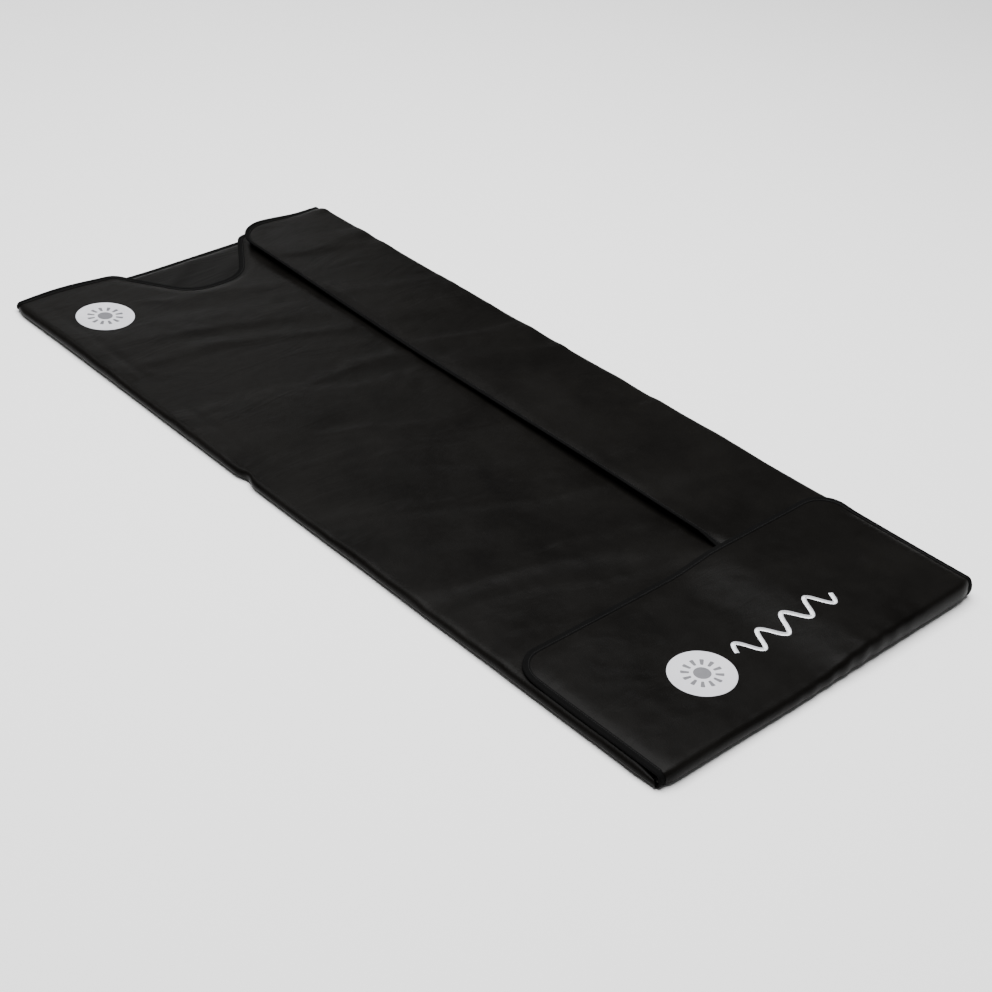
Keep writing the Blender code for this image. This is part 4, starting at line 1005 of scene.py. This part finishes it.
foot_plan = panel_grid(foot_seam, 1, (1, 1), (-1, 1), 5 * MM)
foot_top = at_height(foot_plan, foot_height(foot_plan))
foot_x = foot_plan[0, :, 0]
end_gap = FOOT_HALF - BINDING_REACH + TUCK - abs(foot_x)
foot_reach = (FOLD_REACH - 5 * MM * (1 - crown(end_gap)) + 0.8 * MM * hollows(foot_x, 0 * foot_x, 0.09)
              + 0.8 * MM * np.exp(-((foot_x - GATHER_MIDDLE) / 0.14) ** 2)
              * np.cos(foot_x / GATHER_PITCH))
foot_band = fold_band(foot_plan[0], np.array([0.0, 1.0]), foot_reach,
                      (0.6 * MM + 0 * foot_x, foot_top[0, :, 2]), 0 * foot_x)
foot_flap_leather = cloth("foot_flap_leather", np.concatenate([foot_band, foot_top]), LEATHER_WALL,
                          hide)
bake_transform(foot_flap_leather)
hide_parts("foot_flap_cover", "foot_fold_cover")

foot_edge = lifted_edge(foot_outer, FOOT_BOTTOM + RIM / 2, foot_lip)
foot_edge[0][:, 2] -= foot_drop(foot_edge[0][:, 0])
turn_right = backwards(tape_round_fold(foot_edge[0][0], WEST, SOUTH, RIM / 2))
turn_left = tape_round_fold(foot_edge[0][-1], EAST, SOUTH, RIM / 2)
foot_tape = folded_tape("foot_flap_tape", *joined(turn_right, foot_edge, turn_left), tape_cloth)
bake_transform(foot_tape)
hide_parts("foot_flap_binding")
seams("foot_flap_seam", foot_edge, "foot_flap")

batting("foot_flap_batting", foot_top,
        lining_height(foot_plan, foot_seam, FOOT_BOTTOM, foot_lip, foot_drop), "foot_flap",
        "foot_flap_insulation")
flap_lining("foot_flap_lining", foot_seam, 1, (1, 1), (-1, 1), FOOT_BOTTOM, foot_lip, "foot_flap",
            "foot_flap_liner", foot_drop)
foot_row = np.linspace((-FOLD_X + 6 * MM, FOLD_Y), (FOLD_X - 6 * MM, FOLD_Y), 90)[::-1]
fold_strip("foot_fold_lining", foot_row, SOUTH, 11 * MM,
           (BASE_TOP - 0.4 * MM, FOOT_BOTTOM + 0.6 * MM - foot_drop(foot_row[:, 0])),
           "foot_fold_liner")

# --------------------------------------------------------------------------- hook and loop tapes
# Nylon tapes that hold the flaps shut: stiff hooks face down under the covering flaps, soft loops
# face up on the flaps below. Each is sewn on along both long sides.

PILE_WALL = 0.6 * MM
PILE_WIDTH = 25 * MM
PILE_SEAM = 2.2 * MM


def pile_tape(name, colour, scale, depth):
    """Woven nylon with a pile: rounded tufts of this scale and depth, and tufts of uneven tone."""
    material, tree, shader = principled(name, colour, 0.9)
    shader.inputs["Specular IOR Level"].default_value = 0.08
    place = node(tree, "ShaderNodeTexCoord").outputs["Object"]
    tufts = node(tree, "ShaderNodeTexVoronoi", Scale=scale)
    tree.links.new(place, tufts.inputs["Vector"])
    mottle = place_group(tree, grain_group, place, Pores=300.0)
    coloured(tree, shader, mottle.outputs["Mottle"], [0.6 * part for part in colour], colour,
             (0.82, 0.95))
    bumped(tree, shader, (mottle.outputs["Height"], 0.3, MM), (tufts.outputs["Distance"], 0.9, depth))
    return material


hook_pile = pile_tape("hook_tape_pile", (0.006, 0.006, 0.006), 700.0, 0.7 * MM)
loop_pile = pile_tape("loop_tape_pile", (0.011, 0.011, 0.011), 420.0, 1.0 * MM)


def sewn_tape(node_name, height, facing, pile, body):
    """A tape over the CAD tape's outline, at height(plan), facing up (1) or down (-1)."""
    low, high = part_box(node_name)
    long_way = high.y - low.y > PILE_WIDTH + MM
    if long_way:
        start, end = np.array([low.x, low.y]), np.array([high.x - PILE_WIDTH, high.y])
        width = np.array([PILE_WIDTH, 0.0])
    else:
        start, end = np.array([low.x, high.y]), np.array([high.x, high.y])
        width = np.array([0.0, -PILE_WIDTH])
    line = even(np.array([start, end]), 7 * MM)
    across = np.linspace(0, 1, 6)[:, None, None] * width
    plan = line[None] + across
    if (facing > 0) != long_way:
        plan = plan[::-1]
    face = at_height(plan, height(plan))
    strip = cloth(node_name + "_strip", face, PILE_WALL, pile)
    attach(strip, body)
    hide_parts(node_name)
    for side, inset in (("near", PILE_SEAM), ("far", PILE_WIDTH - PILE_SEAM)):
        seam_plan = line + inset * width / PILE_WIDTH
        rise = np.tile((0.0, 0.0, float(facing)), (len(line), 1))
        seam = np.column_stack([seam_plan, height(seam_plan[:, None])[:, 0]])
        row = stitches(f"{node_name}_{side}_seam", seam, rise, thread)
        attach(row, body)


def on_left(plan):
    """The upper face of the left flap, for a tape sewn on it."""
    return left_height(plan) + 0.45 * MM


def on_right(plan):
    """The upper face of the right flap, for a tape sewn on it."""
    return right_height(plan) + 0.45 * MM


def under_right(plan):
    """The inner side of the right flap, for a tape sewn under it."""
    return RIGHT_BOTTOM - 0.35 * MM + right_lip(plan)


def under_foot(plan):
    """The inner side of the foot flap, for a tape sewn under it."""
    return FOOT_BOTTOM - 0.35 * MM + foot_lip(plan) - foot_drop(plan[..., 0])


sewn_tape("left_flap_loop_tape", on_left, 1, loop_pile, "left_flap")
sewn_tape("right_flap_hook_tape", under_right, -1, hook_pile, "right_flap")
sewn_tape("foot_loop_tape_left", on_left, 1, loop_pile, "left_flap")
sewn_tape("foot_loop_tape_right", on_right, 1, loop_pile, "right_flap")
sewn_tape("foot_hook_tape_left", under_foot, -1, hook_pile, "foot_flap")
sewn_tape("foot_hook_tape_right", under_foot, -1, hook_pile, "foot_flap")

# ------------------------------------------------------------------------------------- the badges
# Two round patches of pale moulded rubber with a raised rim and a darker sun in relief, welded to
# the leather: one near the head end of the left flap, one on the foot flap.

BADGE_WALL = 0.8 * MM
BADGE_RIM = 3.2 * MM
SUN_HEART, RAY_START, RAY_END = 15 * MM, 20 * MM, 35 * MM
RAYS = 12
RELIEF = 0.5 * MM

badge_rubber = grained("pale_rubber", (0.50, 0.50, 0.53), 0.6, (0.44, 0.44, 0.47),
                       (0.56, 0.56, 0.59), (0.52, 0.66), 1100.0, 0.15, 0.2 * MM)

sun_rubber = grained("grey_rubber", (0.10, 0.10, 0.11), 0.6, (0.08, 0.08, 0.09),
                     (0.13, 0.13, 0.14), (0.5, 0.62), 1100.0, 0.15, 0.2 * MM)


def badge(name, node_name, centre, height, body):
    """Rings about the centre: radius by angle, each ring at the leather's height and a relief.

    The relief is a bead at the rim, a round heart and wedge rays. The last rings close the back.
    """
    low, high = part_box(node_name)
    radius = (high.x - low.x) / 2
    inner = np.linspace(0.4 * MM, radius - 0.5 * MM, 56)
    turn = np.linspace(0, 2 * math.pi, 24 * RAYS, endpoint=False)
    ray = 1 - smooth_step(abs((turn * RAYS / (2 * math.pi)) % 1 - 0.5), 0.17, 0.21)
    along = smooth_step(inner, RAY_START, RAY_START + MM) * (1 - smooth_step(inner, RAY_END - MM,
                                                                             RAY_END))
    sun = np.maximum((1 - smooth_step(inner, SUN_HEART - MM, SUN_HEART))[:, None],
                     along[:, None] * ray)
    bead = np.exp(-((inner - radius + BADGE_RIM) / (1.5 * MM)) ** 2)[:, None]
    top = BADGE_WALL + RELIEF * np.maximum(sun, bead)
    radii = np.concatenate([inner, [radius, radius, radius - 0.5 * MM, 0.4 * MM]])
    spread = np.ones((1, len(turn)))
    rise = np.concatenate([top * spread, 0.6 * BADGE_WALL * spread, 0.1 * MM * spread,
                           -0.1 * MM * spread, -0.1 * MM * spread])
    plan = centre + radii[:, None, None] * np.stack([np.cos(turn), np.sin(turn)], -1)
    points = at_height(plan, height(plan) + rise)
    index, after = ring_index(*points.shape[:2])
    faces = np.stack([index[:-1], index[1:], after[1:], after[:-1]], -1).reshape(-1, 4)
    piece = add_mesh(name, points.reshape(-1, 3),
                     [*faces.tolist(), index[0].tolist(), index[-1, ::-1].tolist()], badge_rubber)
    piece.data.materials.append(sun_rubber)
    quads = sun[:-1] + sun[1:]
    dark = (quads + np.roll(quads, -1, axis=1) > 2.0).ravel()
    inks = np.concatenate([dark, np.zeros(len(faces) - len(dark) + 2, bool)]).astype(int)
    inks[-2] = 1
    piece.data.polygons.foreach_set("material_index", inks)
    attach(piece, body)
    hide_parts(node_name)


FOOT_BADGE = box_middle("foot_badge")
badge("head_badge_patch", "head_badge", HEAD_BADGE, left_height, "left_flap")
badge("foot_badge_patch", "foot_badge", FOOT_BADGE, foot_height, "foot_flap")

# ------------------------------------------------------------------------- the embroidered wave
# A wave in satin stitch beside the foot badge: silver thread laid to and fro across its width, so
# close that it makes one ribbed band that stands a little above the leather.

THREAD_PITCH = 0.8 * MM
ROWS_PER_THREAD = 3
RIBBON = 8 * MM
WAVES = 4
PADDING = 0.9 * MM

silver_thread = grained("silver_thread", (0.55, 0.56, 0.58), 0.36, (0.46, 0.47, 0.49),
                        (0.62, 0.63, 0.65), (0.30, 0.44), 1500.0, 0.4, 0.3 * MM, metallic=0.45)

wave_low, wave_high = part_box("foot_wave_embroidery")
swing = (wave_high.y - wave_low.y - RIBBON) / 2
rough_x = np.linspace(wave_low.x + 3 * MM, wave_high.x - 3 * MM, 600)
rough_turn = (rough_x - rough_x[0]) / (rough_x[-1] - rough_x[0]) * 2 * math.pi * WAVES
rough_y = (wave_low.y + wave_high.y) / 2 + swing * np.sin(rough_turn)
wave_line = even(np.column_stack([rough_x, rough_y]), THREAD_PITCH / ROWS_PER_THREAD)
wave_way = np.gradient(wave_line, axis=0)
wave_way /= np.linalg.norm(wave_way, axis=1, keepdims=True)
wave_side = np.column_stack([-wave_way[:, 1], wave_way[:, 0]])
across = np.linspace(-1, 1, 9)
thread_phase = np.arange(len(wave_line)) * 2 * math.pi / ROWS_PER_THREAD
uneven = 0.25 * MM * np.sin(thread_phase / 2 * 1.3 + 1.7 * np.sin(thread_phase * 0.11))
wave_plan = (wave_line[:, None] + wave_side[:, None] * (across[:, None] * (RIBBON / 2)
             + (abs(across) > 0.9)[:, None] * np.sign(across)[:, None] * uneven[:, None, None])
             + wave_way[:, None] * (0.6 * MM * across)[:, None])
rib = 0.16 * MM * np.cos(thread_phase)[:, None] * (1 - across ** 4)
wave_top = (foot_height(wave_plan) + PADDING * np.sqrt(1 - 0.96 * across ** 2) + rib)
wave_band = cloth("foot_wave_satin", at_height(wave_plan, wave_top), 0.5 * MM, silver_thread)
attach(wave_band, "foot_flap")
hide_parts("foot_wave_embroidery")

# ------------------------------------------------------------------------------- the power inlet
# A moulded socket for the detachable lead, let into the head edge of the base: a housing, a rim
# that covers the cut leather, a rounded mouth and three brass pins.

SOCKET_WALL = 2.5 * MM
SOCKET_DEPTH = 16 * MM
MOULD_RADIUS = 2.2 * MM
PIN_POINT = 0.5 * MM

mould = grained("moulded_plastic", (0.012, 0.012, 0.013), 0.42, (0.009, 0.009, 0.010),
                (0.015, 0.015, 0.016), (0.36, 0.50), 2200.0, 0.25, 0.2 * MM, shine=0.2)

brass = grained("pin_brass", (0.62, 0.46, 0.22), 0.28, (0.55, 0.40, 0.18),
                (0.70, 0.53, 0.28), (0.20, 0.38), 1800.0, 0.2, 0.1 * MM, metallic=1.0)


def rounded_loft(name, middle, steps, corner, material, sides=10):
    """Rounded rectangles set one behind another along Y; steps are (half width, half height, y).

    Each corner is a quarter circle, and never larger than the rectangle; both ends are closed.
    """
    steps = np.array(steps)
    turn = (np.arange(4)[:, None] * math.pi / 2 + np.linspace(0, math.pi / 2, sides)).ravel()
    quarter = np.repeat(np.arange(4), sides)
    sign_x, sign_z = np.array([1, -1, -1, 1])[quarter], np.array([1, 1, -1, -1])[quarter]
    radius = np.minimum(corner, 0.98 * steps[:, :2].min(axis=1))[:, None]
    x = middle[0] + sign_x * (steps[:, :1] - radius) + radius * np.cos(turn)
    z = middle[1] + sign_z * (steps[:, 1:2] - radius) + radius * np.sin(turn)
    points = np.stack([x, np.broadcast_to(steps[:, 2:], x.shape), z], -1)
    index, after = ring_index(*x.shape)
    walls = np.stack([index[:-1], index[1:], after[1:], after[:-1]], -1).reshape(-1, 4)
    return add_mesh(name, points.reshape(-1, 3),
                    [*walls.tolist(), index[0].tolist(), index[-1, ::-1].tolist()], material, 35)


HOUSING_LOW, HOUSING_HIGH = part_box("inlet_housing")
body_x, body_z = (HOUSING_HIGH.x - HOUSING_LOW.x) / 2, (HOUSING_HIGH.z - HOUSING_LOW.z) / 2
rim_x = (BEZEL_HIGH.x - BEZEL_LOW.x) / 2
inlet_middle = ((HOUSING_LOW.x + HOUSING_HIGH.x) / 2, (HOUSING_LOW.z + HOUSING_HIGH.z) / 2)
inlet_shell = rounded_loft("inlet_shell", inlet_middle, [
    (body_x - MM, body_z - MM, HOUSING_LOW.y), (body_x, body_z, HOUSING_LOW.y + MM),
    (body_x, body_z, BEZEL_LOW.y - 0.6 * MM), (rim_x - 0.4 * MM, body_z, BEZEL_LOW.y - 0.6 * MM),
    (rim_x, body_z, BEZEL_LOW.y), (rim_x, body_z, HEAD - 0.7 * MM),
    (rim_x - 0.2 * MM, body_z - 0.2 * MM, HEAD - 0.2 * MM),
    (rim_x - 0.7 * MM, body_z - 0.5 * MM, HEAD),
    (body_x - SOCKET_WALL + 0.6 * MM, body_z - SOCKET_WALL + 0.6 * MM, HEAD),
    (body_x - SOCKET_WALL, body_z - SOCKET_WALL, HEAD - 0.6 * MM),
    (body_x - SOCKET_WALL, body_z - SOCKET_WALL, HEAD - SOCKET_DEPTH)], MOULD_RADIUS, mould)
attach(inlet_shell, "root")
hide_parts("inlet_housing", "inlet_bezel")

for pin_name in ("inlet_pin_left", "inlet_pin_centre", "inlet_pin_right"):
    pin_low, pin_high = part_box(pin_name)
    pin_half = (pin_high.x - pin_low.x) / 2
    pin_middle = ((pin_low.x + pin_high.x) / 2, (pin_low.z + pin_high.z) / 2)
    pin = rounded_loft(pin_name + "_contact", pin_middle, [
        (pin_half, pin_half, HEAD - SOCKET_DEPTH - MM), (pin_half, pin_half, pin_high.y - MM),
        (0.8 * pin_half, 0.8 * pin_half, pin_high.y - 0.3 * MM),
        (PIN_POINT, PIN_POINT, pin_high.y)], pin_half, brass)
    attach(pin, "root")
    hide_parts(pin_name)

# ----------------------------------------------------------------------------- leads and insides
# The lead to the left flap's heater is a soft sleeved wire that turns round inside the left fold,
# so it is a piece of its own, laid round the fold. The other inner parts stay as built.

LEAD_SIDES = 8

sleeve, sleeve_tree, sleeve_shader = principled("lead_sleeve_cloth", (0.02, 0.02, 0.02), 0.55)
sleeve_place = node(sleeve_tree, "ShaderNodeTexCoord").outputs["Object"]
sleeve_skin = place_group(sleeve_tree, weave_group, sleeve_place, Scale=260.0)
sleeve_tone = place_group(sleeve_tree, grain_group, sleeve_place, Pores=900.0)
coloured(sleeve_tree, sleeve_shader, sleeve_tone.outputs["Mottle"], (0.014, 0.014, 0.014),
         (0.026, 0.026, 0.026), (0.48, 0.62))
bumped(sleeve_tree, sleeve_shader, (sleeve_skin.outputs["Height"], 0.4, 0.2 * MM))

lead_low, lead_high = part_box("left_flap_lead")
cross_low, cross_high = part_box("base_cross_lead")
lead_radius = (cross_high.z - cross_low.z) / 2
lead_y = lead_low.y + lead_radius
lead_base_z, lead_flap_z = (cross_low.z + cross_high.z) / 2, lead_high.z - lead_radius
lead_reach = -FOLD_X - lead_low.x - lead_radius
round_fold = np.linspace(-math.pi / 2, math.pi / 2, 13)
lead_line = np.concatenate([
    np.column_stack([-FOLD_X - lead_reach * np.cos(round_fold), 0 * round_fold + lead_y,
                     (lead_base_z + lead_flap_z) / 2
                     + (lead_flap_z - lead_base_z) / 2 * np.sin(round_fold)]),
    [(lead_high.x - lead_radius - 4 * MM, lead_y, lead_flap_z),
     (lead_high.x - lead_radius - MM, lead_y + MM, lead_flap_z),
     (lead_high.x - lead_radius, lead_y + 4 * MM, lead_flap_z),
     (lead_high.x - lead_radius, lead_high.y, lead_flap_z)]])
lead_line = even(lead_line, 1.5 * MM)
lead_way = np.gradient(lead_line, axis=0)
lead_way /= np.linalg.norm(lead_way, axis=1, keepdims=True)
lead_up = np.cross(lead_way, np.cross((0.2, 0.3, 1.0), lead_way))
lead_up /= np.linalg.norm(lead_up, axis=1, keepdims=True)
lead_turn = np.linspace(0, 2 * math.pi, LEAD_SIDES, endpoint=False)[None, :, None]
lead_rings = lead_line[:, None] + lead_radius * (np.cos(lead_turn) * lead_up[:, None]
                                                 + np.sin(lead_turn)
                                                 * np.cross(lead_way, lead_up)[:, None])
lead_index, lead_after = ring_index(len(lead_line), LEAD_SIDES)
lead_walls = np.stack([lead_index[:-1], lead_after[:-1], lead_after[1:], lead_index[1:]], -1)
lead_tube = add_mesh("left_flap_lead_tube", lead_rings.reshape(-1, 3),
                     [*lead_walls.reshape(-1, 4).tolist(), lead_index[0, ::-1].tolist(),
                      lead_index[-1].tolist()], sleeve)
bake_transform(lead_tube)
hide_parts("left_flap_lead")

carrier, carrier_tree, carrier_shader = principled("heater_carrier_cloth", (0.30, 0.31, 0.33), 0.7)
carrier_place = node(carrier_tree, "ShaderNodeTexCoord").outputs["Object"]
carrier_weave = place_group(carrier_tree, weave_group, carrier_place, Scale=140.0)
carrier_tone = place_group(carrier_tree, grain_group, carrier_place, Pores=500.0)
coloured(carrier_tree, carrier_shader, carrier_tone.outputs["Mottle"], (0.25, 0.26, 0.28),
         (0.35, 0.36, 0.38), (0.62, 0.78))
bumped(carrier_tree, carrier_shader, (carrier_weave.outputs["Height"], 0.5, 0.5 * MM))

wire_coat = grained("silicone_wire", (0.42, 0.06, 0.04), 0.5, (0.34, 0.045, 0.03),
                    (0.48, 0.08, 0.05), (0.42, 0.56), 900.0, 0.2, 0.2 * MM)

steel = grained("cutout_steel", (0.55, 0.55, 0.54), 0.34, (0.48, 0.48, 0.47),
                (0.60, 0.60, 0.59), (0.28, 0.44), 1400.0, 0.2, 0.1 * MM, metallic=1.0)

for finish, node_names in (
        (felt, ("base_insulation", "left_flap_insulation")),
        (carrier, ("base_heater_carrier", "left_flap_heater_carrier")),
        (wire_coat, ("base_heating_wire", "left_flap_heating_wire")),
        (steel, ("thermal_cutout_upper", "thermal_cutout_lower")),
        (mould, ("temperature_sensor",)),
        (sleeve, ("base_lead_feed", "base_lead_return", "base_cross_lead", "sensor_lead"))):
    for node_name in node_names:
        for material_slot in frame["nodes"][node_name].material_slots:
            material_slot.material = finish
